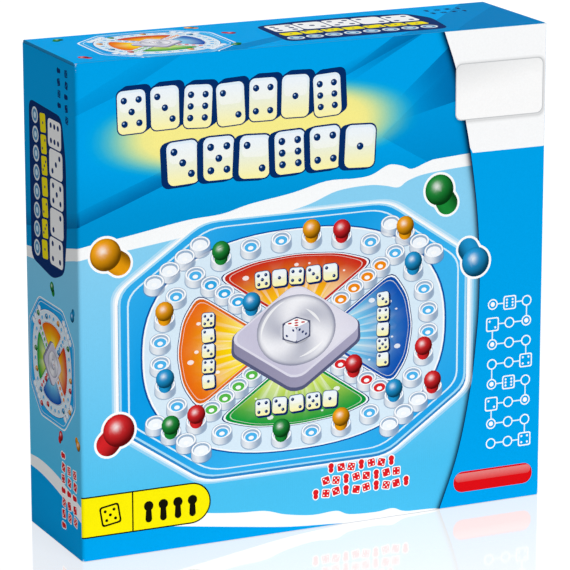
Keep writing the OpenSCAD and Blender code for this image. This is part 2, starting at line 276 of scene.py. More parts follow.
def board_print_material():
    """Screen print on the white board sheet: four shaded fields on a pale rounded track, azure outside it."""
    m = Finish("screen_print_on_board")
    low, high = millimetres("printed_board")

    def step(value, edge, above=True):
        return m.spread(value, edge - 0.15, edge + 0.15, *((0.0, 1.0) if above else (1.0, 0.0)))

    def tone(hex_colour):
        return (*linear(hex_colour), 1)

    def by_quarter(bottom, top, left, right):
        upright = m.over(m.calc("GREATER_THAN", y, 0.0), tone(bottom), tone(top))
        return m.over(sideways, upright, m.over(m.calc("GREATER_THAN", x, 0.0), tone(left), tone(right)))

    across, _, height = m.axes()
    x, y = across, m.calc("SUBTRACT", height, (low[2] + high[2]) / 2)
    ax, ay = m.calc("ABSOLUTE", x), m.calc("ABSOLUTE", y)
    powers = m.calc("ADD", m.calc("POWER", ax, SQUIRCLE), m.calc("POWER", ay, SQUIRCLE))
    out = m.calc("POWER", powers, 1 / SQUIRCLE)
    # each field lies 17 mm off the diagonals, between 30 mm and 84 mm out
    away = m.calc("SUBTRACT", m.calc("MAXIMUM", ax, ay), m.calc("MINIMUM", ax, ay))
    sideways = m.calc("GREATER_THAN", ax, ay)
    field = by_quarter("#0B9A3C", "#CC2A1C", "#EA6A14", "#0B50B0")
    heart = by_quarter("#CFE456", "#FFC414", "#FFE60A", "#79D0F4")
    shaded = m.over(m.spread(out, 36.0, 82.0, 0.0, 1.0), heart, field)
    within = m.calc("MULTIPLY", step(away, 17.0), step(out, 84.0, False))
    rim = m.calc("MULTIPLY", step(away, 15.6), step(out, 85.4, False))
    line = m.calc("MULTIPLY", step(out, 111.2), step(out, 113.0, False))
    sheet = m.over(step(out, 112.0), tone("#D9ECF9"), tone("#0E9DE6"))
    lined = m.over(rim, m.over(line, sheet, tone("#0A2F6B")), tone("#0A2F6B"))
    # the ink film is uneven by a part in forty, over spots 1.5 mm across
    film = m.noise(0.7, 3.0)
    even = m.scaled(m.over(within, lined, shaded), m.spread(film, 0.3, 0.7, 0.975, 1.02))
    m.raised(film, 0.02, 0.3)
    return m.set({"Base Color": even, "Roughness": 0.42})


made_materials = {}


def material(name):
    """The finish of that name, made once."""
    if name not in made_materials:
        c, g = settings("carton"), settings("game")
        recipes = {
            "print": (print_material,),
            "board_print": (board_print_material,),
            "kraft": (liner_material, "kraft_liner", c.kraft),
            "filler": (liner_material, "kraft_filler_card", linear("#A98557"), True),
            "azure_liner": (liner_material, "plain_azure_print", c.azure),
            "edge": (edge_material, "cut_flute_edge", linear("#A88F6B")),
            "azure_edge": (edge_material, "ink_dyed_cut_edge", linear("#1C94D0")),
            "tray": (moulded_material, "moulded_abs_blue", g.tray, 0.28, 0.25),
            "clear": (moulded_material, "clear_polystyrene", linear("#F4FAFC"), 0.05, 0.0, 1.0),
            "bezel": (moulded_material, "moulded_abs_silver_grey", linear("#C2C1D2"), 0.3, 0.15),
            "pot": (moulded_material, "moulded_polypropylene_white", linear("#E4E4E2"), 0.5, 0.3),
            "die": (moulded_material, "die_white_acrylic", linear("#F2F1EC"), 0.22),
            "pip_red": (moulded_material, "pip_enamel_red", linear("#C4161C"), 0.35),
            "pip_blue": (moulded_material, "pip_enamel_navy", linear("#14235A"), 0.35),
            "disc": (steel_material, "rolled_spring_steel", linear("#A9ABAE"), 0.3, 0.3),
            "screw": (steel_material, "turned_zinc_plated_steel", linear("#B9BCC0"), 0.35, 0.2),
            "rubber": (grained_material, "moulded_rubber", linear("#3A3B3E"), 1.4, 5.0, (0.8, 1.3), 0.08, 0.85),
            "paper": (grained_material, "uncoated_paper", linear("#EDEDE8"), 1.1, 6.0, (0.94, 1.03), 0.03, 0.8),
        }
        for tone in COLOURS:
            recipes["peg_" + tone] = (moulded_material, "moulded_styrene_" + tone, getattr(g, tone), 0.2)
        maker, *values = recipes[name]
        made_materials[name] = maker(*values)
    return made_materials[name]


def dress(name, *nodes):
    """Gives CAD nodes that finish."""
    for node in nodes:
        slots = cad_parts[node].data.materials
        slots.clear()
        slots.append(material(name))


# ---------------------------------------------------------------- flat print


WHITE, ICE, DEEP_BLUE = (1, 1, 1), (0.97, 0.99, 1.0), linear("#0A2F6B")
SEA, LEAF, RED, GOLD, SCARLET = (linear(c) for c in ("#1E96D2", "#1C8A38", "#D8262A", "#F0A010", "#DE1F26"))


def mixed(a, b, t):
    t = np.clip(t, 0, 1)[..., None]
    return np.asarray(a) * (1 - t) + np.asarray(b) * t


def smooth(t):
    t = np.clip(t, 0, 1)
    return t * t * (3 - 2 * t)


def flat_ink(colour):
    return lambda p, under: np.tile(np.asarray(colour, float), (len(p), 1))


def veil(share, colour=WHITE):
    """A thin coat of a colour."""
    return lambda p, under: mixed(under, colour, share)


def seen(a, b, t):
    """Mixes two inks in even steps to the eye, so that azure runs to yellow through green."""
    return mixed(np.asarray(a) ** (1 / 2.2), np.asarray(b) ** (1 / 2.2), t) ** 2.2


def kept(p, under):
    """Ink of a line that only adds points for a gradient."""
    return under


def ways(steps):
    """Directions all round, as angles."""
    return np.linspace(0, 2 * math.pi, steps, endpoint=False)


def around(radius, a):
    """Points at those angles and that radius, which may differ from one to the next."""
    return np.stack([radius * np.cos(a), radius * np.sin(a)], -1)


def squircle(a, power=SQUIRCLE):
    """Radius of a squarish round outline at each angle."""
    return 1 / (np.abs(np.cos(a)) ** power + np.abs(np.sin(a)) ** power) ** (1 / power)


def joined(*shapes):
    """Convex outline round several shapes."""
    return hull(np.vstack(shapes))


def box(low, high):
    """Corners of a rectangle."""
    return [(low[0], low[1]), (high[0], low[1]), (high[0], high[1]), (low[0], high[1])]


def ring(centre, rx, ry=None, steps=24, turn=0.0):
    """Points of an ellipse."""
    return turned(around(1, ways(steps)) * (rx, ry or rx) + centre, centre, turn)


def rounded(low, high, radius, steps=5):
    """Points of a rectangle with round corners."""
    (x0, y0), (x1, y1) = np.add(low, radius), np.subtract(high, radius)
    quarter = np.linspace(0, math.pi / 2, steps + 1)
    return np.vstack([around(radius, quarter + k * math.pi / 2) + heart
                      for k, heart in enumerate(((x1, y1), (x0, y1), (x0, y0), (x1, y0)))])


def soften(points, radius, steps=4):
    """The outline with its corners rounded."""
    p, out = np.asarray(points, float), []
    for i in range(len(p)):
        a, b = p[i - 1] - p[i], p[(i + 1) % len(p)] - p[i]
        la, lb = np.linalg.norm(a), np.linalg.norm(b)
        r = min(radius, la / 2, lb / 2)
        a, b = p[i] + a / la * r, p[i] + b / lb * r
        for t in np.linspace(0, 1, steps + 1):
            out.append((1 - t) ** 2 * a + 2 * t * (1 - t) * p[i] + t**2 * b)
    return np.array(out)


def turned(points, centre, angle):
    c, s = math.cos(angle), math.sin(angle)
    p = np.asarray(points, float) - centre
    return np.stack([p[:, 0] * c - p[:, 1] * s, p[:, 0] * s + p[:, 1] * c], 1) + centre


def hull(points):
    """Convex outline of the points, anticlockwise."""
    pts = sorted({(round(float(x), 5), round(float(y), 5)) for x, y in points})

    def dented(a, b, c):
        return (b[0] - a[0]) * (c[1] - a[1]) <= (b[1] - a[1]) * (c[0] - a[0])

    def half(ordered):
        out = []
        for p in ordered:
            while len(out) > 1 and dented(*out[-2:], p):
                out.pop()
            out.append(p)
        return out[:-1]

    return np.array(half(pts) + half(pts[::-1]))


def flowing(points, steps=8):
    """A smooth line through the points."""
    p = np.asarray(points, float)
    p = np.vstack([2 * p[0] - p[1], p, 2 * p[-1] - p[-2]])
    out = []
    for i in range(1, len(p) - 2):
        for t in np.linspace(0, 1, steps, endpoint=False):
            a, b, c, d = p[i - 1 : i + 3]
            bend, twist = 2 * a - 5 * b + 4 * c - d, 3 * b - a - 3 * c + d
            out.append(0.5 * (2 * b + (c - a) * t + bend * t**2 + twist * t**3))
    out.append(p[-2])
    return np.array(out)


def inside(places, outline):
    """Which places lie inside an outline."""
    within = np.zeros(len(places), bool)
    x, y = places[:, 0], places[:, 1]
    for (ax, ay), (bx, by) in zip(outline, np.roll(outline, -1, 0)):
        if ay != by:
            within ^= ((ay > y) != (by > y)) & (x < (bx - ax) * (y - ay) / (by - ay) + ax)
    return within


class Artwork:
    """A flat print in millimetres: shapes laid one over another, then cut into a single layer of faces."""

    def __init__(self):
        self.shapes = []

    def lay(self, points, ink):
        """Lays a shape on top. ink is a linear colour, or a function of the points and the colours under them."""
        p = np.asarray(points, float)
        x, y = p[:, 0], p[:, 1]
        if np.sum(x * np.roll(y, -1) - y * np.roll(x, -1)) < 0:
            p = p[::-1]
        self.shapes.append((p, ink if callable(ink) else flat_ink(ink)))

    def cut(self, outline, spacing, lines=()):
        """(points, triangles, a colour for each triangle's corners) of the print inside the outline."""
        verts, edges = [], []

        def take(points, loop=True):
            start = len(verts)
            verts.extend(Vector((float(x), float(y))) for x, y in points)
            if loop:
                edges.extend((k, k + 1) for k in range(start, len(verts) - 1))
                edges.append((len(verts) - 1, start))

        outline = np.asarray(outline, float)
        low, high = outline.min(0), outline.max(0)
        take(outline)
        for points, _ in self.shapes:
            if (points.max(0) > low).all() and (points.min(0) < high).all():
                take(points)
        for a, b in lines:
            take([a, b])
        nx, ny = (max(int(n), 1) for n in (high - low) / spacing)
        take([low + (high - low) * (i + 0.5, j + 0.5) / (nx, ny) for i in range(nx) for j in range(ny)], False)
        points, _, triangles, _, _, _ = geometry.delaunay_2d_cdt(verts, edges, [], 0, 1e-3, False)
        points = np.array([tuple(p) for p in points])
        triangles = np.array([t for t in triangles if len(t) == 3])
        triangles = triangles[inside(points[triangles].mean(1), outline)]
        corners = points[triangles]
        middles = corners.mean(1)
        colours = np.ones(corners.shape[:2] + (3,))
        for shape, ink in self.shapes:
            rows = np.nonzero(((middles > shape.min(0)) & (middles < shape.max(0))).all(1))[0]
            rows = rows[inside(middles[rows], shape)]
            if len(rows):
                p, under = corners[rows].reshape(-1, 2), colours[rows].reshape(-1, 3)
                colours[rows] = np.asarray(ink(p, under)).reshape(-1, 3, 3)
        used, back = np.unique(triangles, return_inverse=True)
        return points[used], back.reshape(-1, 3), np.clip(colours, 0, 1)


def lay_ball(art, centre, radius, colour, steps=20):
    """A lit ball, seen from straight above the print, with its light from the upper left."""
    light = np.array([-0.38, 0.48, 0.79])
    glint = light + (0, 0, 1)
    glint /= np.linalg.norm(glint)
    colour, gloss = np.asarray(colour), 0.75

    def ink(p, under):
        d = (p - centre) / radius
        n = np.stack([d[:, 0], d[:, 1], np.sqrt(np.clip(1 - (d**2).sum(1), 0, 1))], 1)
        lit = 0.16 + 0.9 * np.clip(n @ light, 0, 1)
        return mixed(colour * lit[:, None], WHITE, gloss * np.clip(n @ glint, 0, 1) ** 26)

    for share in (1.0, 0.86, 0.68, 0.48, 0.28):
        art.lay(ring(centre, radius * share, steps=steps if share > 0.6 else steps * 2 // 3), ink)


def lay_peg(art, foot, radius, height, angle, colour, steps=20, halo=0.0):
    """A ball-headed peg: foot and head are joined by a body, and angle is where the head lies, from upright."""
    up = np.array([-math.sin(angle), math.cos(angle)])
    across = np.array([up[1], -up[0]])
    foot, wide = np.asarray(foot, float), radius * 0.74
    head = foot + up * height
    if halo:
        art.lay(joined(ring(foot, wide + halo), ring(head, radius * 0.72 + halo)), WHITE)
        art.lay(ring(head, radius + halo, steps=steps + 8), WHITE)

    def ink(p, under):
        w = ((p - foot) @ across) / wide
        lit = 0.24 + 0.72 * np.clip(np.cos((w + 0.35) * 1.35), 0, 1)
        low = np.clip(1 - ((p - foot) @ up) / (height * 0.9), 0, 1)
        return np.asarray(colour) * (lit * (1 - 0.35 * smooth(1 - low)))[:, None]

    art.lay(joined(ring(foot, wide, steps=steps), ring(foot + up * height * 0.8, radius * 0.7, steps=steps)), ink)
    strip = ((-0.1, -0.45), (0.8, -0.45), (0.8, 0.1), (-0.1, 0.1))
    art.lay([foot + up * height * t + across * radius * 0.74 * w for t, w in strip], ink)
    lay_ball(art, head, radius, colour, steps)


def lay_pegs(art, steps, rows):
    """Small loose pegs. Each row is (place of the foot, angle, colour)."""
    for foot, angle, colour in rows:
        lay_peg(art, foot, 2.8, 3.2, angle, colour, steps)


PIPS = {
    1: ((0, 0),), 2: ((-1, 1), (1, -1)), 3: ((-1, 1), (0, 0), (1, -1)), 4: ((-1, -1), (-1, 1), (1, -1), (1, 1)),
    5: ((-1, -1), (-1, 1), (1, -1), (1, 1), (0, 0)), 6: ((-1, -1), (-1, 0), (-1, 1), (1, -1), (1, 0), (1, 1)),
}


def lay_tile(art, low, size, count, angle, navy, throw=(2.6, -2.0), steps=5):
    """A raised tile with the dots of a die: white to pale yellow, over a navy block that it throws to one side."""
    low, size = np.array(low, float), np.array(size, float)
    middle, radius = low + size / 2, 0.2 * min(size)

    def lay(points, ink):
        art.lay(turned(points, middle, angle), ink)

    def fade(p, under):
        return mixed(linear("#FFF6A8"), linear("#E3F1FC"), (p[:, 1] - low[1]) / size[1] * 1.15)

    edge = rounded(low - 0.04 * size[0], low + 1.04 * size, radius * 1.15, steps)
    lay(joined(edge, edge + throw), navy)
    lay(rounded(low, low + size, radius, steps), fade)
    lay(rounded(low + size * (0.08, 0.5), low + size * (0.92, 0.94), radius * 0.8, steps), veil(0.45))
    dot = 0.115 * min(size)
    for x, y in PIPS[count]:
        at = middle + (x, y) * size * (0.26, 0.27)
        lay(ring(at, dot, steps=14), navy)
        lay(ring(at + (-0.3 * dot, 0.3 * dot), dot * 0.3, steps=8), linear("#9DB9DA"))


def lay_board(art, centre, scale, tilt=0.68, turn=0.0, steps=18, pegs=(), fine=True):
    """A picture of a pop-dice board seen at a slant: tray, track field, four fields, cups, pegs and popper.
    Lengths in it are shares of scale, half the board's width."""
    centre = np.asarray(centre, float)
    corner_steps = 4 if fine else 2
    co, si = math.cos(turn), math.sin(turn)

    def put(points, height=0.0):
        p = np.atleast_2d(np.asarray(points, float))
        x, y = p[:, 0] * scale, (p[:, 1] * tilt + height * 0.72) * scale
        return np.stack([centre[0] + x * co - y * si, centre[1] + x * si + y * co], 1)

    def own(p):
        d = p - centre
        return (d[:, 0] * co + d[:, 1] * si) / scale, (-d[:, 0] * si + d[:, 1] * co) / scale / tilt

    def octagon(half, corner, height=0.0):
        flat = half - corner
        raw = [(flat, half), (-flat, half), (-half, flat), (-half, -flat), (-flat, -half), (flat, -half),
               (half, -flat), (half, flat)]
        return put(soften(raw, 0.09, corner_steps), height)

    def sheen(p, under):
        x, y = own(p)
        return mixed(linear("#0E9DE6"), linear("#39B4F0"), 0.45 + 0.5 * np.sin(2.6 * x - 1.9 * y))

    # tray: (half width, corner, height, ink) from the shadow inwards
    shadow = [(1.078, 0.5, -0.012, veil(0.25)), (1.066, 0.5, -0.012, veil(0.5))]
    for half, corner, height, ink in (shadow if fine else []) + [
        (1.055, 0.495, -0.012, WHITE), (1.038, 0.489, -0.018, linear("#2A86C8")),
        (1.035, 0.488, 0.0, linear("#A6DCF7")), (1.022, 0.483, 0.0, sheen), (0.985, 0.468, 0.0, linear("#D6F0FD")),
        (0.975, 0.464, 0.0, sheen),
    ]:
        art.lay(octagon(half, corner, height), ink)
    a = ways(72 if fine else 40)
    for grow, tone in ((1.012, linear("#0A55A0")), (1.0, ICE), (0.988, linear("#D9ECF9"))):
        art.lay(put(around(0.9 * squircle(a) * grow, a)), tone)
    half_petal = np.array([(0.22, 0.10), (0.575, 0.452), (0.665, 0.26), (0.695, 0.0)])
    petal = soften(np.vstack([half_petal, (half_petal * (1, -1))[2::-1]]), 0.075, corner_steps)
    for q, (rim, heart) in enumerate((("#0B50B0", "#79D0F4"), ("#CC2A1C", "#FFC414"), ("#EA6A14", "#FFE60A"),
                                      ("#0B9A3C", "#CFE456"))):
        lay_field(art, put, own, petal, q, linear(rim), linear(heart), fine)
        if fine:
            # a row of small die tiles stands across the field
            mid, wide = q * math.pi / 2, (0.071, 0.084)[q % 2] * scale
            row = np.array([1.0, 0.0]) if q % 2 else np.array([0.0, 1.0])
            for k in range(5):
                c = put([(0.52 * math.cos(mid), 0.52 * math.sin(mid))])[0] + row * (k - 2) * wide * 1.2
                lay_tile(art, c - wide / 2 * np.array([1, 1.08]), (wide, wide * 1.08), (2, 5, 1, 4, 3)[(k + q) % 5],
                         0.06 * math.sin(k * 2 + q), linear("#0A2560"), (0.8, -0.9), 3)

    def cup(x, y, tone):
        def hoop(r, height):
            return put(around(r, ways(steps)) + (x, y), height)

        at = put([(x, y)])[0]

        def wall(p, under):
            w = ((p - at) @ (co, si)) / (0.058 * scale)
            lit = 0.5 + 0.5 * np.cos((w + 0.4) * 2.6)
            return mixed(mixed(under, linear("#8298B4"), 0.55), ICE, 0.75 * lit)

        if fine:
            art.lay(joined(hoop(0.0635, -0.02), hoop(0.061, 0.035)), veil(0.6, linear("#5F7FA8")))
        art.lay(joined(hoop(0.059, -0.016), hoop(0.058, 0.034)), wall)
        for r, height, ink in ((0.058, 0.034, (0.96, 0.98, 1)), (0.0485, 0.034, linear("#9CB4CE")),
                               (0.043, 0.022, (0.93, 0.96, 1)), (0.036, 0.02, tone), (0.016, 0.014, ICE)):
            if fine or r > 0.02:
                art.lay(hoop(r, height), ink)

    track = (np.arange(28) + 0.5) * 2 * math.pi / 28
    spots = [(x, y, linear("#4DB4EC"), f"t{i}") for i, (x, y) in enumerate(around(0.8 * squircle(track, 2.3), track))]
    for q, tone in enumerate(("#F08A10", "#2FA8E4", "#58B848", "#D8262A")):
        t = math.pi / 4 + q * math.pi / 2
        out, along = np.array([math.cos(t), math.sin(t)]), np.array([-math.sin(t), math.cos(t)])
        for i in range(4):
            spots.append((*(out * (0.375 + 0.112 * i)), linear(tone), f"h{q}{i}"))
            spots.append((*(out * 0.985 + along * (i - 1.5) * 0.125), (0.9, 0.95, 1), f"s{q}{i}"))
    names = dict(pegs)
    for x, y, tone, name in sorted(spots, key=lambda s: -s[1]):
        cup(x, y, tone)
        if name in names:
            lay_peg(art, put([(x, y)], 0.028)[0], 0.054 * scale, 0.04 * scale, turn, names[name],
                    max(steps * 3 // 4, 8))
    lay_popper(art, put, own, scale, tilt, turn, steps, fine)


def lay_field(art, put, own, petal, quarter, rim, heart, fine):
    """One of the four fields: a rim, and rays that run from its heart's colour to its own."""
    mid = quarter * math.pi / 2
    co, si = math.cos(mid), math.sin(mid)
    cream = (1, 1, 0.9)

    def leaf(grow):
        p = (petal - (0.48, 0)) * grow + (0.48, 0)
        return put(np.stack([p[:, 0] * co - p[:, 1] * si, p[:, 0] * si + p[:, 1] * co], 1))

    def rays(p, under):
        x, y = own(p)
        out, angle = np.hypot(x, y), np.arctan2(y, x) - mid
        glow = mixed(heart, rim, smooth((out - 0.30) / 0.40))
        stripe = np.clip(np.sin(angle * 31 + 9 * np.sin(angle * 7 + mid)), 0, 1)
        return mixed(glow, (1, 1, 0.88), 0.34 * stripe * (1 - smooth((out - 0.42) / 0.25)))

    def fading(p, under):
        return mixed(under, cream, 0.5 * (1 - smooth((np.hypot(*own(p)) - 0.3) / 0.3)))

    art.lay(leaf(1.05), DEEP_BLUE)
    art.lay(leaf(1.03), (0.92, 0.96, 1))
    art.lay(leaf(1.0), tuple(np.array(rim) * 0.88))
    if fine:
        art.lay(leaf(0.94), veil(0.55, cream))
    art.lay(leaf(0.925), rays)
    if fine:
        # soft rays and sparks run across the field
        for w in 0.14 * np.arange(-3, 4):
            far = 0.60 - 0.5 * abs(w) * 0.3
            art.lay(put(around(np.array([0.3, far, far]), mid + w + np.array([0, -0.028, 0.028]))), fading)
        for k in range(9):
            spot = around(0.5 + 0.13 * math.sin(k * 2.4 + quarter) ** 2, mid - 0.5 + 0.125 * k)
            art.lay(put(ring(spot, 0.008 + 0.006 * (k % 3), steps=8)), veil(0.75))


def lay_popper(art, put, own, scale, tilt, turn, steps, fine):
    """The popper in the board's picture: a square of silver plastic set corner-on, its clear dome and the die."""
    co, si = math.cos(turn), math.sin(turn)
    wide, cut = 0.37, 0.035
    plan = soften([(wide, cut), (cut, wide), (-cut, wide), (-wide, cut), (-wide, -cut), (-cut, -wide), (cut, -wide),
                   (wide, -cut)], 0.03, 2)
    art.lay(joined(put(plan * 1.04, -0.035), put(plan * 1.03, 0.05)), linear("#55597A"))
    art.lay(joined(put(plan, -0.02), put(plan, 0.06)), lambda p, under: mixed(
        linear("#8C88A4"), linear("#AAA6C0"), 0.5 + 0.5 * own(p)[0] / wide))
    art.lay(put(plan, 0.06), linear("#DEDCEA"))
    art.lay(put(plan * 0.95, 0.062), lambda p, under: mixed(
        linear("#C3BFD6"), linear("#EAE8F2"), 0.5 + 0.9 * np.sin(own(p)[0] * 7 + own(p)[1] * 4) * 0.4))
    heart = put([(0, 0)], 0.075)[0]
    radius, flatten = 0.235 * scale, 0.5 + 0.5 * tilt

    def glass(p, under):
        d = (p - heart) / radius
        x, y = d[:, 0] * co + d[:, 1] * si, (-d[:, 0] * si + d[:, 1] * co) / flatten
        out, angle = np.hypot(x, y), np.arctan2(y, x)
        swirl = 0.5 + 0.5 * np.cos(3 * angle - 1.2 + 3.4 * out)
        body = mixed(linear("#9DA0B4"), linear("#F6F6FA"), 0.15 + 0.6 * swirl + 0.25 * out)
        return mixed(body, linear("#666A8A"), 0.85 * smooth((out - 0.88) / 0.14))

    for share in (1.0, 0.96, 0.92, 0.85, 0.72, 0.58, 0.44, 0.3, 0.15) if fine else (1.0, 0.85, 0.6, 0.3):
        art.lay(ring(heart, radius * share, radius * share * flatten, steps * 2, turn), glass)
    if fine:
        # gleams: (radius, where they begin and end)
        for share, begin, end in ((0.9, 1.9, 3.3), (0.62, 0.2, 1.2), (0.78, -1.5, -0.5)):
            a = np.linspace(begin, end, 12)
            inner = share - 0.07 * np.sin(np.linspace(0, math.pi, 12))
            arc = np.vstack([around(share, a), around(inner, a)[::-1]]) * (1, flatten)
            art.lay(turned(heart + arc * radius, heart, turn), veil(0.7))
    # the die under it, corner towards the viewer
    side, down = 0.044 * scale, 0.62

    def iso(x, y, z):
        u, v = (x - y) * 0.86, (x + y) * 0.5 * down + z * 0.92
        return heart + side * np.array([u * co - v * si, u * si + v * co])

    art.lay(ring(heart - (0, side * 0.9), side * 1.7, side * 0.9, 16, turn), lambda p, under: under * 0.72)
    art.lay(hull([iso(x * 1.1, y * 1.1, z * 1.1) for x in (-1, 1) for y in (-1, 1) for z in (-1, 1)]),
            linear("#4A4E6C"))
    corners = [(-1, -1), (1, -1), (1, 1), (-1, 1)]
    for face, tone in (
        ([(x, y, 1) for x, y in corners], WHITE), ([(x, -1, -z) for x, z in corners], linear("#C6CADB")),
        ([(-1, y, -z) for y, z in corners], linear("#E9EBF3")),
    ):
        art.lay(soften([iso(*c) for c in face], side * 0.3, 2), tone)
    dot = around(1.0, ways(10 if fine else 6))
    for place in PIPS[5]:
        art.lay([iso(x, y, 1) for x, y in np.array(place) * 0.52 + dot * 0.23], linear("#C4161C"))
    for k, place in enumerate(PIPS[3] + PIPS[2]):
        flat = np.array(place) * 0.5 + dot * 0.18
        art.lay([iso(a, -1, b) if k < 3 else iso(-1, a, b) for a, b in flat], linear("#1B2C63"))


# ---------------------------------------------------------------- meshes


def linked(name, mesh, body):
    """The mesh as an object in the scene, which rides on the body if one is named."""
    ob = bpy.data.objects.new(name, mesh)
    bpy.context.scene.collection.objects.link(ob)
    if body:
        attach(ob, body)
    return ob


def rounded_off(mesh, sharp_from):
    """Smooth shading, with hard edges where faces meet at more than that many degrees, if any are named."""
    mesh.shade_smooth()
    if sharp_from:
        mesh.set_sharp_from_angle(angle=math.radians(sharp_from))


def make_object(name, verts, faces, body, materials, kinds=None, inks=None, wear=None, flat=None, soft=35.0):
    """A finished mesh from places in millimetres. kinds is a material index for each face, wear a value for each
    point, inks a colour and flat a place on the bake's map for each corner."""
    mesh = bpy.data.meshes.new(name)
    mesh.from_pydata([tuple(v) for v in np.asarray(verts) * MM], [], [tuple(int(i) for i in f) for f in faces])
    for m in materials:
        mesh.materials.append(material(m))
    if kinds is not None:
        mesh.polygons.foreach_set("material_index", np.asarray(kinds, np.int32))
        data = mesh.color_attributes.new("ink", "FLOAT_COLOR", "CORNER")
        data.data.foreach_set("color", np.hstack([inks, np.ones((len(inks), 1))]).ravel())
        mesh.uv_layers.new(name="OFBake").data.foreach_set("uv", np.asarray(flat, float).ravel())
        mesh.attributes.new("wear", "FLOAT", "POINT").data.foreach_set("value", np.asarray(wear, float))
    mesh.update()
    rounded_off(mesh, soft)
    return linked(name, mesh, body)


def settled(work, mesh):
    """Ends the work on a mesh, with all its faces turned outward."""
    bmesh.ops.recalc_face_normals(work, faces=work.faces)
    work.to_mesh(mesh)
    work.free()
    return mesh


def moulded(name, work, finish, body, sharp_from=None):
    """Ends the work on a mesh, which becomes an object of one finish."""
    mesh = settled(work, bpy.data.meshes.new(name))
    mesh.materials.append(material(finish))
    rounded_off(mesh, sharp_from)
    return linked(name, mesh, body)


def facing_out(ob):
    """Gives a turned or joined piece one outward side."""
    work = bmesh.new()
    work.from_mesh(ob.data)
    bmesh.ops.remove_doubles(work, verts=work.verts, dist=1e-7)
    settled(work, ob.data)
    return ob


def filled(outlines, least=1e-5):
    """Triangles inside the first outline and outside the others, by the numbers of the outlines' points in turn."""
    places, loops = [], []
    for outline in outlines:
        start, n = len(places), len(outline)
        places += [Vector(p) for p in outline]
        loops += [(start + k, start + (k + 1) % n) for k in range(n)]
    found, _, cut, sources, _, _ = geometry.delaunay_2d_cdt(places, loops, [], 0, least, True)
    found, cut = np.array([tuple(p) for p in found]), np.array(cut)
    middles = found[cut].mean(1)
    chosen = inside(middles, np.array(outlines[0], float))
    for hole in outlines[1:]:
        chosen &= ~inside(middles, np.array(hole, float))
    return [[sources[i][0] for i in tri] for tri in cut[chosen]]


def card(name, art, outline, spacing, place, thickness, body, materials, lines=(), worn=None):
    """A piece of printed board: the print outside, its plain liner inside and the cut edge between them.
    place turns points on the flat blank and a depth into the board into places on the object."""
    points, triangles, colours = art.cut(outline, spacing, lines)
    n = len(points)
    # the print's own edge: the sides that only one triangle has
    known = {(int(a), int(b)) for i in range(3) for a, b in triangles[:, [i, (i + 1) % 3]]}
    after = {a: b for a, b in known if (b, a) not in known}
    loop = [min(after)]
    while after[loop[-1]] != loop[0]:
        loop.append(after[loop[-1]])
    edge, count = points[loop], len(loop)
    sides = [(k, (k + 1) % count) for k in range(count)]
    # the liner takes the print's edge points and its bends, which stop 3 mm short of the edge
    low, high = points.min(0) + 3, points.max(0) - 3
    verts, edges = [Vector(tuple(p)) for p in edge], list(sides)
    for ends in lines:
        a, b = (np.array(end, float) for end in ends)
        axis = int(abs(b - a)[1] > abs(b - a)[0])
        a[axis], b[axis] = np.clip((a[axis], b[axis]), low[axis], high[axis])
        if abs(b - a).max() > 0.1:
            edges.append((len(verts), len(verts) + 1))
            verts += [Vector(tuple(a)), Vector(tuple(b))]
    liner, _, plain, sources, _, _ = geometry.delaunay_2d_cdt(verts, edges, [], 0, 1e-4, True)
    liner, plain = np.array([tuple(p) for p in liner]), np.array(plain)
    plain = plain[inside(liner[plain].mean(1), edge)][:, ::-1]
    matching = {j: k for k, many in enumerate(sources) for j in many}
    rim = [(loop[k], loop[j], n + matching[j], n + matching[k]) for j, k in sides]
    faces = [tuple(t) for t in triangles] + [tuple(t + n) for t in plain] + rim
    kinds = np.r_[np.zeros(len(triangles)), np.ones(len(plain)), np.full(len(rim), 2)]
    inks = np.vstack([colours.reshape(-1, 3), np.ones((3 * len(plain) + 4 * len(rim), 3))])
    wear = np.zeros(n + len(liner))
    if worn:
        wear[:n] = worn(points)
    # the map holds the print, the liner above it and the edge in rows above that, all at one scale
    size = np.ptp(points, axis=0)
    spread = [points[triangles].reshape(-1, 2) - low + 4, liner[plain].reshape(-1, 2) - low + 4 + (0, size[1] + 4)]
    run, row = 0.0, 0
    for j, k in sides:
        length = float(np.linalg.norm(edge[k] - edge[j]))
        if run + length > size[0]:
            run, row = 0.0, row + 1
        y, end = 2 * size[1] + 12 + 4 * row, run + length
        spread.append([(end, y), (run, y), (run, y + thickness), (end, y + thickness)])
        run = end
    flat = np.vstack(spread)
    flat /= flat.max() + 2
    verts = np.vstack([place(points, np.zeros(n)), place(liner, np.full(len(liner), thickness))])
    ob = make_object(name, verts, faces, body, materials, kinds, inks, wear, flat)
    return ob


def lathe(name, profile, steps, place=lambda p: p, body=None, finish=None):
    """Turns a closed profile of (radius, height) points round the axis. place puts the result on the object."""
    verts, rows, faces = [], [], []
    for r, h in profile:
        rows.append([len(verts)] * steps if r < 1e-6 else list(range(len(verts), len(verts) + steps)))
        verts += [(0, 0, h)] if r < 1e-6 else [(x, y, h) for x, y in around(r, ways(steps))]
    for low, high in zip(rows, rows[1:] + rows[:1]):
        for k in range(steps):
            loop = [low[k], low[(k + 1) % steps], high[(k + 1) % steps], high[k]]
            loop = [v for i, v in enumerate(loop) if v != loop[i - 1]]
            if len(loop) > 2:
                faces.append(loop)
    ob = make_object(name, place(np.array(verts, float)), faces, body, [finish] if finish else [], soft=40.0)
    return facing_out(ob)


def towards_front(low, high):
    """Place function for turned pieces of the game, by their boxes: the axis points out of the carton's front."""
    x, z = (low + high)[[0, 2]] / 2
    return lambda p: np.stack([x + p[:, 0], high[1] - p[:, 2], z + p[:, 1]], 1)


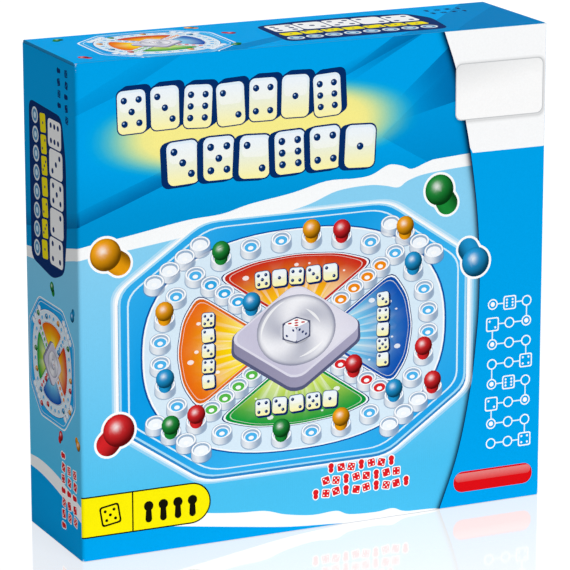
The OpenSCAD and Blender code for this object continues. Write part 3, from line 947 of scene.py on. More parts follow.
def softened(node, width, finish, body="carton"):
    """A moulded or cut piece with its hard edges rounded off, made from the CAD node it stands for."""
    work = bmesh.new()
    work.from_mesh(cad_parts[node].data)
    bmesh.ops.remove_doubles(work, verts=work.verts, dist=2e-6)
    bmesh.ops.dissolve_limit(work, angle_limit=math.radians(1), verts=work.verts, edges=work.edges)
    hard = [e for e in work.edges if len(e.link_faces) == 2 and e.calc_face_angle() > math.radians(32)]
    bmesh.ops.bevel(work, geom=hard, offset=width * MM, segments=2, affect="EDGES", clamp_overlap=True)
    bmesh.ops.triangulate(work, faces=work.faces)
    ob = moulded(node + "_moulded", work, finish, body, 40)
    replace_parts(ob, node)


def shells(node):
    """The corners of each separate shell of a CAD node, in millimetres, in a fixed order."""
    work = bmesh.new()
    work.from_mesh(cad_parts[node].data)
    bmesh.ops.remove_doubles(work, verts=work.verts, dist=1e-6)
    left, found = set(work.verts), []
    while left:
        group = [left.pop()]
        for v in group:
            near = {e.other_vert(v) for e in v.link_edges} & left
            left -= near
            group += near
        found.append(np.array([v.co[:] for v in group]) / MM)
    work.free()
    return sorted(found, key=lambda p: tuple(np.round(p.min(0) + p.max(0), 1)))


def sized(shell):
    """(size of a shell's box, distance of each of its corners from its axis, which runs front to back)."""
    low, high = shell.min(0), shell.max(0)
    centre = (low + high)[[0, 2]] / 2
    return high - low, np.hypot(shell[:, 0] - centre[0], shell[:, 2] - centre[1])


def seats(found, end):
    """Where each shell's axis meets its lowest or highest y, as end chooses."""
    return [((p.min(0) + p.max(0))[0] / 2, end(p[:, 1]), (p.min(0) + p.max(0))[2] / 2) for p in found]


def repeat_group():
    """Geometry Nodes: a source on every point, its axis turned along the point's facing and spun about it."""
    group = bpy.data.node_groups.get("repeat_on_points")
    if group:
        return group
    group = bpy.data.node_groups.new("repeat_on_points", "GeometryNodeTree")
    for name, kind in (("Geometry", "Geometry"), ("Source", "Object"), ("Finish", "Material"), ("Spin", "Float"),
                       ("Seed", "Int")):
        group.interface.new_socket(name, in_out="INPUT", socket_type="NodeSocket" + kind)
    group.interface.new_socket("Geometry", in_out="OUTPUT", socket_type="NodeSocketGeometry")
    given = add(group, "NodeGroupInput").outputs
    source = add(group, "GeometryNodeObjectInfo", [("Object", given["Source"])])
    facing = add(group, "GeometryNodeInputNamedAttribute", [("Name", "facing")], data_type="FLOAT_VECTOR")
    aligned = add(group, "FunctionNodeAlignRotationToVector", [("Vector", facing.outputs[0])], axis="Z")
    copies = add(
        group, "GeometryNodeInstanceOnPoints",
        [("Points", given["Geometry"]), ("Instance", source.outputs["Geometry"]), ("Rotation", aligned.outputs[0])],
    )
    chance = add(group, "FunctionNodeRandomValue", [(2, 0.0), (3, given["Spin"]), ("Seed", given["Seed"])],
                 data_type="FLOAT")
    spin = add(group, "ShaderNodeCombineXYZ", [(2, chance.outputs[1])])
    spun = add(group, "GeometryNodeRotateInstances",
               [("Instances", copies.outputs[0]), ("Rotation", spin.outputs[0]), ("Local Space", True)])
    real = add(group, "GeometryNodeRealizeInstances", [(0, spun.outputs[0])])
    finished = add(group, "GeometryNodeSetMaterial", [("Geometry", real.outputs[0]), ("Material", given["Finish"])])
    add(group, "NodeGroupOutput", [(0, finished.outputs[0])])
    return group


def repeated(name, source, places, facing, body, finish, spin=0.0, seed=7):
    """One mesh that holds a copy of the source at each place. The source is used up."""
    mesh = bpy.data.meshes.new(name)
    mesh.from_pydata([tuple(p) for p in np.asarray(places) * MM], [], [])
    mesh.attributes.new("facing", "FLOAT_VECTOR", "POINT").data.foreach_set(
        "vector", np.broadcast_to(facing, (len(places), 3)).astype(np.float32).ravel())
    ob = linked(name, mesh, None)
    made = ob.modifiers.new("repeat", "NODES")
    made.node_group = repeat_group()
    values = {"Source": source, "Finish": material(finish), "Spin": spin, "Seed": seed}
    for socket in made.node_group.interface.items_tree:
        if socket.in_out == "INPUT" and socket.name in values:
            made[socket.identifier] = values[socket.name]
    graph = bpy.context.evaluated_depsgraph_get()
    graph.update()
    final = bpy.data.meshes.new_from_object(ob.evaluated_get(graph), preserve_all_data_layers=True, depsgraph=graph)
    ob.modifiers.clear()
    ob.data = final
    bpy.data.meshes.remove(mesh)
    final.name = name
    final.materials.clear()
    final.materials.append(material(finish))
    final.polygons.foreach_set("material_index", np.zeros(len(final.polygons), np.int32))
    bpy.data.objects.remove(source)
    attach(ob, body)
    return ob


    return ob


# ---------------------------------------------------------------- the carton's places and print


def millimetres(node):
    """(lowest, highest) corner of a CAD node in millimetres."""
    low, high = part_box(node)
    return np.array(low) / MM, np.array(high) / MM


FRONT = millimetres("front_panel")
LID = millimetres("lid_flap")
WIDE, DEEP, TALL = FRONT[1][0] * 2, LID[1][1] * 2, FRONT[1][2]
BOARD = FRONT[1][1] - FRONT[0][1]
WALL_TOP = millimetres("back_panel")[1][2]
CREASES = (0, WIDE, WIDE + DEEP)  # the upright bends, along the girth from the front left corner


def on_sleeve(r):
    """Place function of the sleeve, whose bends have the radius r: along the girth from the front left corner,
    and up."""
    corners = np.array([(-WIDE, -DEEP), (WIDE, -DEEP), (WIDE, DEEP)]) / 2
    outs = np.array([(-1, 0), (0, -1), (1, 0), (0, 1)])  # what the walls face: left, front, right and back

    def place(p, depth):
        s = p[:, :1]
        spot, facing = np.zeros((len(p), 2)), np.zeros((len(p), 2))
        for k, out in enumerate(outs):
            # the left and the front wall both start at the first corner
            nearest = max(k - 1, 0)
            run = s - CREASES[nearest]
            wall = run > 0 if k else run <= 0
            spot = np.where(wall, corners[nearest] + run * (-out[1], out[0]), spot)
            facing = np.where(wall, out, facing)
        for corner, start, before, after in zip(corners, CREASES, outs, outs[1:]):
            turn = (s - start + r) / (2 * r) * math.pi / 2
            bend, out = np.abs(s - start) <= r, before * np.cos(turn) + after * np.sin(turn)
            spot = np.where(bend, corner - r * (before + after) + r * out, spot)
            facing = np.where(bend, out, facing)
        return np.hstack([spot - facing * depth[:, None], p[:, 1:]])

    return place


def on_lid(p, depth):
    """Place function of the lid, which bends down at both ends: across from its left edge, and back from the
    carton's front."""
    y, level = p[:, 1] - DEEP / 2, LID[0][2]
    ny, nz = np.zeros(len(y)), np.ones(len(y))
    at_y, at_z = y.copy(), np.full(len(y), level + BOARD)
    for way, end in ((-1, LID[0][1]), (1, LID[1][1])):
        past = way * (y - end) / BOARD + 1
        bend = past > 0
        a = np.clip(past[bend], 0, 1) * math.pi / 2
        ny[bend], nz[bend] = way * np.sin(a), np.cos(a)
        at_y[bend], at_z[bend] = end + BOARD * (ny[bend] - way), level + BOARD * nz[bend]
    return np.stack([p[:, 0] - WIDE / 2, at_y - ny * depth, at_z - nz * depth], 1)


def field_shapes(art, azure):
    """The print's large fields round the whole sleeve: azure ground with beams, white waves and the pale field."""
    middle, reach = 172, 44  # a deeper band runs round the carton at this height

    def ground(p, under):
        off = p[:, 1] - middle
        near = np.abs(off) < reach
        return mixed(azure, np.array(azure) * 0.80, 0.5 + 0.5 * np.cos(off / 14.0) * near - 0.5 * ~near)

    art.lay(box((-DEEP - 2, -2), (2 * WIDE + DEEP + 2, TALL + 2)), ground)
    lost = 1 - np.array([0.90, 0.76, 0.80])  # what a beam takes from red, green and blue

    def beam(points, deep, dark_at, clear_at):
        a, b = np.array(dark_at, float), np.array(clear_at, float)

        def ink(p, under):
            t = (p - a) @ (b - a) / ((b - a) @ (b - a))
            return under * (1 - lost * (deep * (1 - smooth(t)))[:, None])

        art.lay(points, ink)

    top = TALL + 1
    # on the front the right column covers the beams' ends, on the back they run on to the crease
    for s, end, foot in ((0.0, 232, 190), (WIDE + DEEP, WIDE, 160)):
        for points, deep, dark_at, clear_at in (
            ([(-1, 178), (24, 187), (52, 197.5), (110, 227), (196, top), (184, top), (104, 232), (48, 204),
              (22, 194.5), (-1, 186)], 2.1, (50, 197), (45, 209)),
            ([(146, 237), (151, 239.6), (197, top), (180, top), (146, 243)], 1.7, (186, 262), (147, 240)),
            ([(172, 210), (214, 246), (end, 246), (end, foot), (206, foot)], 0.8, (206, 205), (196, 256)),
            ([(171, 221), (222, top), (end, top), (end, 229), (183, 218.2)], 2.1, (213, 240), (178, 221)),
            ([(-1, 236), (26, 246), (60, top), (40, top), (-1, 243)], 0.8, (20, 243), (14, 258)),
        ):
            beam(np.array(points) + (s, 0), deep, (dark_at[0] + s, dark_at[1]), (clear_at[0] + s, clear_at[1]))
    beam([(-DEEP - 1, 164), (-40, 169), (1, 178.5), (1, 186), (-40, 178), (-DEEP - 1, 172)], 1.9, (-40, 169),
         (-42, 180))
    levels, skies = (28, 110, 172), [linear(c) for c in ("#4AC0EF", "#76CDF5", "#8AD2F4")]
    foam = linear("#FBFDFE")

    def sky(p, under):
        t = np.interp(p[:, 1], levels, [0, 1, 2])
        return mixed(mixed(skies[0], skies[1], t), skies[2], t - 1)

    # four lines each: the top wave's crest and foot, then the bottom wave's. First on the left side and the front
    start = -DEEP - 1
    waves = [(
        flowing([(start, 153), (-54, 155.5), (-30, 161), (0, 167.5), (28, 171.5), (60, 176.4), (80, 177.8),
                 (96, 181.5), (120, 185), (140, 189.4), (156, 189.2), (166, 190.2), (176, 194.6), (184, 193.4),
                 (190, 191.2), (200, 194.4), (210, 195.6), (WIDE, 199)], 5),
        flowing([(start, 147), (-56, 149), (-30, 154), (0, 161), (28, 164), (60, 168), (94, 173.5), (112, 174.5),
                 (130, 178), (146, 183.5), (164, 184.8), (174, 183.6), (182, 182), (189, 185.6), (206, 188.5),
                 (WIDE, 192)], 5),
        flowing([(start, 38), (-56, 39), (-31, 36.5), (0, 29), (30, 23), (66, 17.5), (88, 14.6), (104, 13.4),
                 (116, 9.8), (132, 7.2), (146, 7.6), (154, 4.6), (170, 3.6), (180, 4.4), (188, 1.6), (206, 0.6),
                 (240, -4)], 5),
        flowing([(start, 32), (-56, 31.5), (-31, 28), (0, 20.5), (30, 15.5), (60, 11), (90, 6.5), (118, 2.6),
                 (146, 0.4), (190, -3), (240, -6)]),
    )]
    # then on the right side and the back
    along = np.array([-1, 40, DEEP, 130, 200, 280, WIDE + DEEP + 1]) + WIDE
    waves.append([flowing(np.stack([along, heights], 1)) for heights in (
        (162, 156, 165, 173, 170, 177, 155), (155, 150, 158, 166, 163, 170, 149), (24, 32, 28, 18, 20, 30, 38),
        (18, 25, 21, 12, 14, 23, 32))])
    for crest, rise, dip, trough in waves:
        for upper, lower, ink in ((crest, dip, sky), (crest, rise, foam), (dip, trough, foam)):
            art.lay(np.vstack([upper, lower[::-1]]), ink)


def column_shapes(art, azure, navy):
    """The front's right column: white above, azure below, its curved edge throwing a soft shadow to the left."""
    edge = flowing([(207.5, TALL + 2), (215.7, 241), (221.4, 214), (225.4, 192), (229, 165), (230.9, 138),
                    (231, 116), (229.8, 96), (226.4, 66), (219, 30), (207.6, -2)], 6)

    def shade(p, under):
        d = np.clip(np.interp(p[:, 1], edge[::-1, 1], edge[::-1, 0]) - p[:, 0], 0, None)
        high = smooth((p[:, 1] - 170) / 30)
        deep = (0.88 + 0.1 * high) * np.exp(-(d / (2.2 + 0.4 * high)) ** 2)
        return under * (1 - deep[:, None] * (1.0, 0.99, 0.96))

    def lay(shift, back, ink):
        art.lay(np.vstack([edge + (shift, 0), (edge - (back, 0))[::-1]]), ink)

    for wide in (0.4, 0.9, 1.4, 1.9, 2.5, 3.2, 4.1):
        lay(0, wide, kept)
    lay(0, 5.6, shade)
    lay(0.3, 0.2, tuple(np.array(navy) * 0.6))
    art.lay(np.vstack([edge + (0.2, 0), [(WIDE, -2), (WIDE, TALL + 2)]]), azure)
    split = 196.4
    top = edge[edge[:, 1] > split] + (0.2, 0)
    art.lay(np.vstack([top, [(226.0, split), (WIDE, split), (WIDE, TALL + 2)]]), linear("#FCFDFE"))


def plate(art, low, high, radius, rim, face):
    """A bare label plate with a soft shadow and a thin rim."""
    low, high = np.array(low, float), np.array(high, float)
    for grow, deep in ((1.9, 0.05), (1.3, 0.08), (0.7, 0.13)):
        art.lay(rounded(low - grow + (0.3, -0.5), high + grow + (0.3, -0.5), radius + grow),
                lambda p, under, deep=deep: under * (1 - deep))
    art.lay(rounded(low, high, radius), rim)
    art.lay(rounded(low + 0.5, high - 0.5, radius - 0.25), face)


def pill(art, low, high, split, outline, yellow):
    """A tag that starts at the left edge and ends round, with a die sign, a divider and four peg signs."""
    for inset, ink in ((0.0, outline), (0.75, yellow)):
        bottom, top = low[1] + inset, high[1] - inset
        r = (top - bottom) / 2
        end = around(r, np.linspace(-math.pi / 2, math.pi / 2, 17)) + (high[0] - inset - r, (bottom + top) / 2)
        art.lay(np.vstack([[(low[0] - 1, bottom)], end, [(low[0] - 1, top)]]), ink)
    art.lay(box((split - 0.4, low[1]), (split + 0.4, high[1])), outline)
    c, lean = np.array([(low[0] + split) / 2 + 1.6, (low[1] + high[1]) / 2]), 0.16
    for half, radius, ink in ((5.6, 1.6, outline), (4.6, 1.1, yellow)):
        art.lay(turned(rounded(c - half, c + half, radius), c, lean), ink)
    for place in PIPS[5]:
        art.lay(turned(ring(c + np.array(place) * 2.5, 0.85, steps=12), c, lean), outline)
    for i in range(4):
        foot = np.array([split + 9.0 + 8.3 * i, low[1] + 5.9])
        art.lay(joined(ring(foot, 1.9, steps=12), ring(foot + (0, 5.5), 1.5, steps=12)), outline)
        art.lay(ring(foot + (0, 7.2), 2.7, steps=18), outline)


def lay_signs(art, centre, count, step, size, tone, turn=0.0, edge=WHITE):
    """A row of small signs, dice and pegs in turn, each with an edge."""
    along = np.array([math.cos(turn), math.sin(turn)])
    up = np.array([-along[1], along[0]])
    for i in range(count):
        c = np.array(centre) + along * step * (i - (count - 1) / 2) + up * size * 0.15 * math.sin(i * 1.9 + count)
        if (i + count) % 3 == 1:
            foot, head = c - up * size * 0.5, c + up * size * 0.55
            for grow, ink in ((size * 0.24, edge), (0.0, tone)):
                base, neck = ring(foot, size * 0.62 + grow, steps=10), ring(head, size * 0.4 + grow, steps=10)
                art.lay(joined(base, neck), ink)
                art.lay(ring(head, size * 0.72 + grow, steps=14), ink)
        else:
            lean = turn + 0.22 * math.sin(i * 2.0 + count)
            for half, ink in ((size * 1.16, edge), (size * 0.92, tone)):
                art.lay(turned(rounded(c - half, c + half, half * 0.3, 2), c, lean), ink)
            for place in PIPS[(3, 5, 2, 4)[(i + count) % 4]]:
                art.lay(turned(ring(c + np.array(place) * size * 0.48, size * 0.19, steps=8), c, lean), edge)


def lay_badge(art, put, navy):
    """A navy badge of a row of die faces, a row of yellow bars and a row of rings, 90 mm by 55 mm. put places it."""
    def bow(i, count):
        return math.sin((i + 0.5) * math.pi / count)

    art.lay(put(soften([(0, 3), (1.5, 49.5), (24, 54.5), (62, 54.5), (84, 50.5), (90, 34), (85, 3)], 6)), navy)
    for i, pips in enumerate((6, 3, 5, 2, 4)):
        low = np.array([5.2 + 15.6 * i, 29 + 2.8 * bow(i, 5)])
        art.lay(put(rounded(low, low + (14.8, 18.5), 2.6, 3)), linear("#F6F7F8"))
        for x, y in PIPS[pips]:
            art.lay(put(ring(low + (7.4 + x * 4, 9.25 + y * 5), 1.5, steps=12)), navy)
    for i in range(7):
        c = np.array([9.5 + 11.2 * i, 22.4 + 1.8 * bow(i, 7)])
        art.lay(put(turned(rounded(c - (5.0, 3.9), c + (5.0, 3.9), 1.2, 3), c, 0.1)), linear("#F2E21A"))
        for x, y in PIPS[1 + i % 3]:
            art.lay(put(ring(c + (x * 2.4, y * 1.9), 0.8, steps=10)), navy)
    for i in range(8):
        for size, tone in ((4.4, "#DCE6EE"), (3.3, "#5C93BD"), (1.7, "#C9E4F2")):
            art.lay(put(ring((7.4 + 10.1 * i, 11.2 + 1.4 * bow(i, 8)), size, steps=16)), linear(tone))


def lay_glow(art, centre, rx, ry):
    """The pale yellow glow behind the two rows of tiles, with rings of points that carry its gradient."""
    a = ways(56)

    def ink(p, under):
        d = np.abs((p - centre) / (rx, ry))
        out = (d[:, 0] ** SQUIRCLE + d[:, 1] ** SQUIRCLE) ** (1 / SQUIRCLE)
        return seen(under, linear("#FBF08E"), 1 - smooth((out - 0.62) / 0.38))

    for share in (0.3, 0.55, 0.66, 0.71, 0.76, 0.81, 0.86, 0.91, 0.955, 1.0):
        art.lay(around(share * squircle(a), a) * (rx, ry) + centre, ink if share == 1.0 else kept)


def lay_path(art, azure):
    """The path of white rings and die faces in line that runs down the column."""
    path = [np.array([239.5 + 10.4 * (c if r % 2 == 0 else 2 - c), 111.5 - 11.2 * r]) for r in range(8)
            for c in range(3)]
    for a, b in zip(path, path[1:]):
        across = np.array([-(b - a)[1], (b - a)[0]]) / np.linalg.norm(b - a) * 0.35
        art.lay([a - across, b - across, b + across, a + across], (0.8, 0.93, 1))
    for i, c in enumerate(path):
        if i % 4 == 1:
            art.lay(rounded(c - 3.9, c + 3.9, 1.2), WHITE)
            art.lay(rounded(c - 3.2, c + 3.2, 0.9), azure)
            for place in PIPS[1 + (i * 5) % 6]:
                art.lay(ring(c + np.array(place) * 1.75, 0.62, steps=10), WHITE)
        else:
            art.lay(ring(c, 3.0, steps=20), WHITE)
            art.lay(ring(c, 2.3, steps=20), azure)
            if i % 3 == 0:
                art.lay(ring(c, 1.3, steps=14), WHITE)


PEGS = (
    ("t2", SEA), ("t5", RED), ("t6", GOLD), ("t9", LEAF), ("t12", GOLD), ("t15", SEA), ("t17", RED), ("t20", LEAF),
    ("t22", GOLD), ("t24", SEA), ("t26", RED), ("h10", SEA), ("h31", RED), ("s02", GOLD), ("s21", LEAF),
    ("s33", RED),
)
COUNTS = (5, 3, 6, 2, 4, 1, 6, 3, 5, 2, 6, 4, 1)


def front_art(art, azure, navy):
    """The front: two rows of tiles, the column with its path and plate, the board with loose pegs, and tags."""
    lay_glow(art, (99.5, 221.5), 96, 25)
    # two rows of tiles: (how many, first place, step, waver, size, lean, throw of the block)
    done = 0
    for many, (x, y), step, waver, size, lean, throw in (
        (7, (22.5, 224.6), 18.3, 1.7, (15.6, 22.4), (2.3, 0.5), (2.8, 1.6)),
        (6, (49.5, 195.4), 20.2, 2.1, (17.4, 22.8), (1.9, 1.2), (-2.9, -0.6)),
    ):
        for i in range(many):
            lay_tile(art, (x + step * i, y + 0.6 * math.sin(i * waver)), size, COUNTS[done + i],
                     0.05 * math.sin(i * lean[0] + lean[1]), navy, throw)
        done += many
    column_shapes(art, azure, navy)
    plate(art, (215.3, 214.6), (268.0, 245.2), 3.6, linear("#C9CBCD"), lambda p, under: mixed(
        linear("#FEFEFE"), linear("#E6E7E8"), (p[:, 1] - 226) / 19 - (p[:, 0] - 215) / 90))
    lay_board(art, (122.5, 105.5), 97.5, 0.685, 0.0, 20, PEGS)
    for foot, radius, height, angle, tone in (
        ((22.5, 157.5), 8.6, 9.2, 0.95, GOLD), ((15.0, 62.0), 8.8, 9.0, -0.75, RED),
        ((211, 170.5), 8.4, 9.0, 0.55, LEAF), ((224, 144), 8.2, 8.8, -2.6, SEA),
    ):
        lay_peg(art, foot, radius, height, angle, tone, 32, 1.3)
    lay_path(art, azure)
    # three short rows of small red signs under the board, a bare red tag and the yellow one
    for count, v in ((7, 31.6), (8, 25.0), (10, 18.4)):
        lay_signs(art, (161.0, v), count, 6.0, 2.3, SCARLET)
    art.lay(rounded((217.0, 7.6), (265.4, 19.2), 5.4), linear("#DC0F16"))
    art.lay(rounded((218.0, 13.4), (264.4, 18.2), 2.3), lambda p, under: mixed(
        under, (1, 0.9, 0.86), 0.05 + 0.2 * (p[:, 1] - 13.4) / 4.8))
    pill(art, (0, 12.3), (72.8, 34.8), 28.4, linear("#15130A"), linear("#FBEE08"))


def side_art(art, azure, navy, way):
    """A side: a badge of standing rows over a small board picture, with loose pegs and rows of signs."""
    def at(d, v):
        """A place on the side, from its back edge."""
        return (d - DEEP if way == 1 else WIDE + DEEP - d, v)

    turn = math.pi / 2 * way
    lay_badge(art, lambda p: np.array([at(4.5 + b, 233.5 - a) for a, b in np.atleast_2d(p)]), navy)
    lay_board(art, at(34.5, 97), 31.0, 1.0, -turn, 8, PEGS, False)
    lay_pegs(art, 14, (
        (at(38, 136), 0.5 * way, LEAF), (at(66, 132), 2.6 * way, SEA), (at(44, 58), -0.6 * way, RED),
        (at(68, 64), -2.4 * way, GOLD)))
    for k, count in enumerate((7, 5, 5)):
        lay_signs(art, at(48.5 + 8.0 * k, 31.5), count, 6.4, 2.4, SCARLET, turn)
    for k in range(2):
        lay_signs(art, at(51 + 10 * k, 246.5 - 3 * k), 4 + k, 6.0, 2.1, navy, turn, azure)


def back_art(art, navy):
    """The back: a row of tiles, a board picture, three step plates with a peg and tiles, and a bare white plate."""
    back = WIDE + DEEP
    for i in range(9):
        lay_tile(art, (back + 50 + 19.2 * i, 205.5 + 0.7 * math.sin(i)), (16.2, 19.6), COUNTS[i],
                 0.05 * math.sin(i * 2.3), navy, (2.6, -1.4))
    lay_board(art, (back + 96, 98), 74, 0.72, 0.0, 12, PEGS[:9], False)
    for i, tone in enumerate((RED, GOLD, LEAF)):
        drop = 34 * i
        plate(art, (back + 190, 112 - drop), (back + 252, 140 - drop), 3.0, linear("#D5DADF"), WHITE)
        lay_peg(art, (back + 204, 119 - drop), 4.6, 6.0, -0.3, tone, 18)
        for k in range(3):
            lay_tile(art, (back + 215 + 11.5 * k, 121 - drop), (8.6, 8.6), COUNTS[3 * i + k], 0.0, navy, (0.8, -0.8),
                     3)
    plate(art, (back + 200, 8), (back + 246, 30), 1.0, linear("#E6E6E6"), WHITE)


def sleeve_art(azure, navy):
    """The whole sleeve's print."""
    art = Artwork()
    field_shapes(art, azure)
    front_art(art, azure, navy)
    for way in (1, -1):
        side_art(art, azure, navy, way)
    back_art(art, navy)
    return art


def lid_art(azure, navy):
    """The lid: beams, a small board picture with loose pegs, a badge and two rows of navy signs."""
    art = Artwork()
    art.lay(box((-2, -2), (WIDE + 2, DEEP + 2)), azure)
    lost = 1 - np.array([0.90, 0.72, 0.76])
    for points, deep in (
        ([(66, -1), (84, 8), (128, 29), (186, 34), (190, 27), (130, 20), (88, -1)], 1.15),
        ([(178, -1), (206, 17), (258, DEEP + 1), (WIDE + 1, DEEP + 1), (WIDE + 1, 62), (232, 20), (214, -1)], 1.15),
        ([(214, -1), (232, 20), (WIDE + 1, 62), (WIDE + 1, -1)], 1.5),
    ):
        art.lay(points, lambda p, under, deep=deep: under * (1 - lost * deep))
    pegs = [p for p in PEGS if p[0] in ("t2", "t6", "t9", "t12", "t15", "t17", "t22")]
    lay_board(art, (59, 34.5), 36.0, 0.86, 0.0, 8, pegs, False)
    lay_pegs(art, 12, (
        ((94, 66), 0.9, GOLD), ((103, 47), -2.2, RED), ((97, 17), 2.4, LEAF), ((14, 62), -0.7, LEAF),
        ((12, 12), 0.6, RED)))
    lay_badge(art, lambda p: np.atleast_2d(p) * (1.1, 1.0) + (122.5, 6.5), navy)
    for k in range(2):
        lay_signs(art, (238, 60 - 8 * k), 4, 6.4, 1.9, navy, 0.0, azure)
    return art


# ---------------------------------------------------------------- operators: carton


class GAMECARTON_OT_sleeve(bpy.types.Operator):
    """Wraps the printed board round the four sides, with rounded upright creases"""

    bl_idname = "game_carton.sleeve"
    bl_label = "Printed Sleeve"

    def execute(self, context):
        c = settings("carton")
        r = c.crease_radius / MM
        seam = 2 * WIDE + DEEP - BOARD - 0.1
        outline = [(-DEEP + 0.1, 0), (seam, 0), (seam, WALL_TOP), (WIDE + r, WALL_TOP), (WIDE + 0.6, TALL),
                   (-0.6, TALL), (-r, WALL_TOP), (-DEEP + 0.1, WALL_TOP)]
        bends = [start + r * k / 3 for start in CREASES for k in range(-3, 4)]
        lines = [((s, -1), (s, TALL + 1)) for s in bends]
        lines += [((start + r * k, v), (start + r * (k + 1), v)) for start in CREASES for k in (-1, 0)
                  for v in np.arange(3, TALL, 6)]

        def worn(p):
            s, v = p[:, 0], p[:, 1]
            near = np.min([np.abs(s - start) for start in CREASES], axis=0)
            ends = np.minimum(v, np.where((s > 0) & (s < WIDE), TALL, WALL_TOP) - v)
            return np.clip(1 - near / (1.3 * r), 0, 1) * 0.62 + np.clip(1 - ends / 0.9, 0, 1) * 0.5

        ob = card("carton_sleeve", sleeve_art(tuple(c.azure), tuple(c.navy)), outline, c.art_spacing / MM,
                  on_sleeve(r), BOARD, "carton", ["print", "kraft", "azure_edge"], lines, worn)
        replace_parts(ob, "front_panel", "back_panel", "left_side_panel", "right_side_panel")
        return {"FINISHED"}


class GAMECARTON_OT_top(bpy.types.Operator):
    """Builds the lid, bent down at both ends, its tuck flap, which hangs from the front crease, and the two flat dust
    flaps
    """

    bl_idname = "game_carton.top"
    bl_label = "Top Flaps"

    def execute(self, context):
        c = settings("carton")
        azure, white = tuple(c.azure), linear("#E8E9E6")
        self.lid(azure, tuple(c.navy), c.art_spacing / MM)
        self.tongue(azure, white)
        for side, name in ((-1, "dust_flap_left"), (1, "dust_flap_right")):
            self.dust_flap(side, name, azure, white)
        return {"FINISHED"}

    def lid(self, azure, navy, spacing):
        (x0, y0), (x1, y1) = np.array(LID)[:, :2] + (WIDE / 2, DEEP / 2)
        lines = [((x0 - 1, y), (x1 + 1, y)) for k in range(1, 5) for y in (y0 + BOARD * k / 4, y1 - BOARD * k / 4)]
        lines += [((x, ya), (x, yb)) for x in np.arange(x0 + 4, x1, 6) for ya, yb in ((y0, y0 + 1.5), (y1 - 1.5, y1))]

        def worn(p):
            d = np.min([p[:, 0] - x0, x1 - p[:, 0], p[:, 1] - y0, y1 - p[:, 1]], axis=0)
            return np.clip(1 - d / 1.6, 0, 1) * 0.6

        ob = card("carton_lid", lid_art(azure, navy), [(x0, y0), (x1, y0), (x1, y1), (x0, y1)], spacing, on_lid,
                  BOARD - 0.03, "lid", ["print", "kraft", "azure_edge"], lines, worn)
        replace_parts(ob, "lid_flap")

    def plain_board(self, name, outline, place, thickness, body, lines, tones, out):
        """A flap whose print ends a little way out from its crease. out gives a place's distance from there."""
        art = Artwork()
        art.lay(box((-WIDE, -WIDE), (WIDE, WIDE)), lambda p, under: mixed(*tones, smooth(out(p) / 0.5)))
        return card(name, art, outline, 6.0, place, thickness, body, ["print", "kraft", "edge"], lines)

    def tongue(self, *tones):
        """The tongue hangs from the front crease and leans in. Its two lower corners are round."""
        low, high = millimetres("tuck_flap")
        pivot_y, pivot_z = LID[0][1], LID[0][2]
        lean = math.radians(16.0)
        long = (pivot_z - low[2]) / math.cos(lean)
        half, r, start, bend, dyed = high[0], 8.2, 0.08, 0.62, 7.6

        def on_tongue(p, depth):
            w = p[:, 1]
            deep = depth * np.clip(w / bend, 0.12, 1)
            return np.stack([p[:, 0], pivot_y + w * math.sin(lean) + deep * math.cos(lean),
                             pivot_z - w * math.cos(lean) + deep * math.sin(lean)], 1)

        corner = around(r, np.linspace(0, math.pi / 2, 9))
        outline = np.array([(-half, start)] + [(r - half - x, long - r + y) for x, y in corner]
                           + [(half - r + y, long - r + x) for x, y in corner] + [(half, start)])
        lines = [((-half - 1, w), (half + 1, w)) for w in (0.35, bend, dyed, dyed + 0.25, dyed + 0.5)]
        ob = self.plain_board("tuck_tongue", outline[::-1], on_tongue, BOARD - 0.02, "tuck", lines, tones,
                              lambda p: p[:, 1] - dyed)
        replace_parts(facing_out(ob), "tuck_flap")

    def dust_flap(self, side, name, *tones):
        top_z = millimetres(name)[1][2]
        corners = [v.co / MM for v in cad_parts[name].data.vertices]
        plan = hull({(round(p.x, 3), round(p.y, 3)) for p in corners if p.z > top_z - 0.05})
        hinge, bend, dyed = side * (WIDE / 2 - BOARD), 0.5, 5.2
        plan[:, 0] = np.where(np.abs(plan[:, 0] - hinge) < 0.5, hinge - side * 0.06, plan[:, 0])

        def on_flap(p, depth):
            deep = depth * np.clip(np.abs(p[:, 0] - hinge) / bend, 0.15, 1)
            return np.stack([p[:, 0], p[:, 1], top_z - deep], 1)

        lines = [((hinge - side * w, -DEEP), (hinge - side * w, DEEP))
                 for w in (bend / 2, bend, dyed, dyed + 0.25, dyed + 0.5)]
        ob = self.plain_board(name + "_board", plan, on_flap, BOARD - 0.01, name.replace("_flap", ""), lines, tones,
                              lambda p: np.abs(p[:, 0] - hinge) - dyed)
        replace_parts(ob, name)


class GAMECARTON_OT_bottom(bpy.types.Operator):
    """Finishes the glued bottom flaps and the glue flap"""

    bl_idname = "game_carton.bottom"
    bl_label = "Bottom Flaps"

    def execute(self, context):
        dress("azure_liner", "bottom_outer_flap")
        dress("kraft", "bottom_inner_flap", "bottom_dust_flap_left", "bottom_dust_flap_right", "glue_flap")
        return {"FINISHED"}


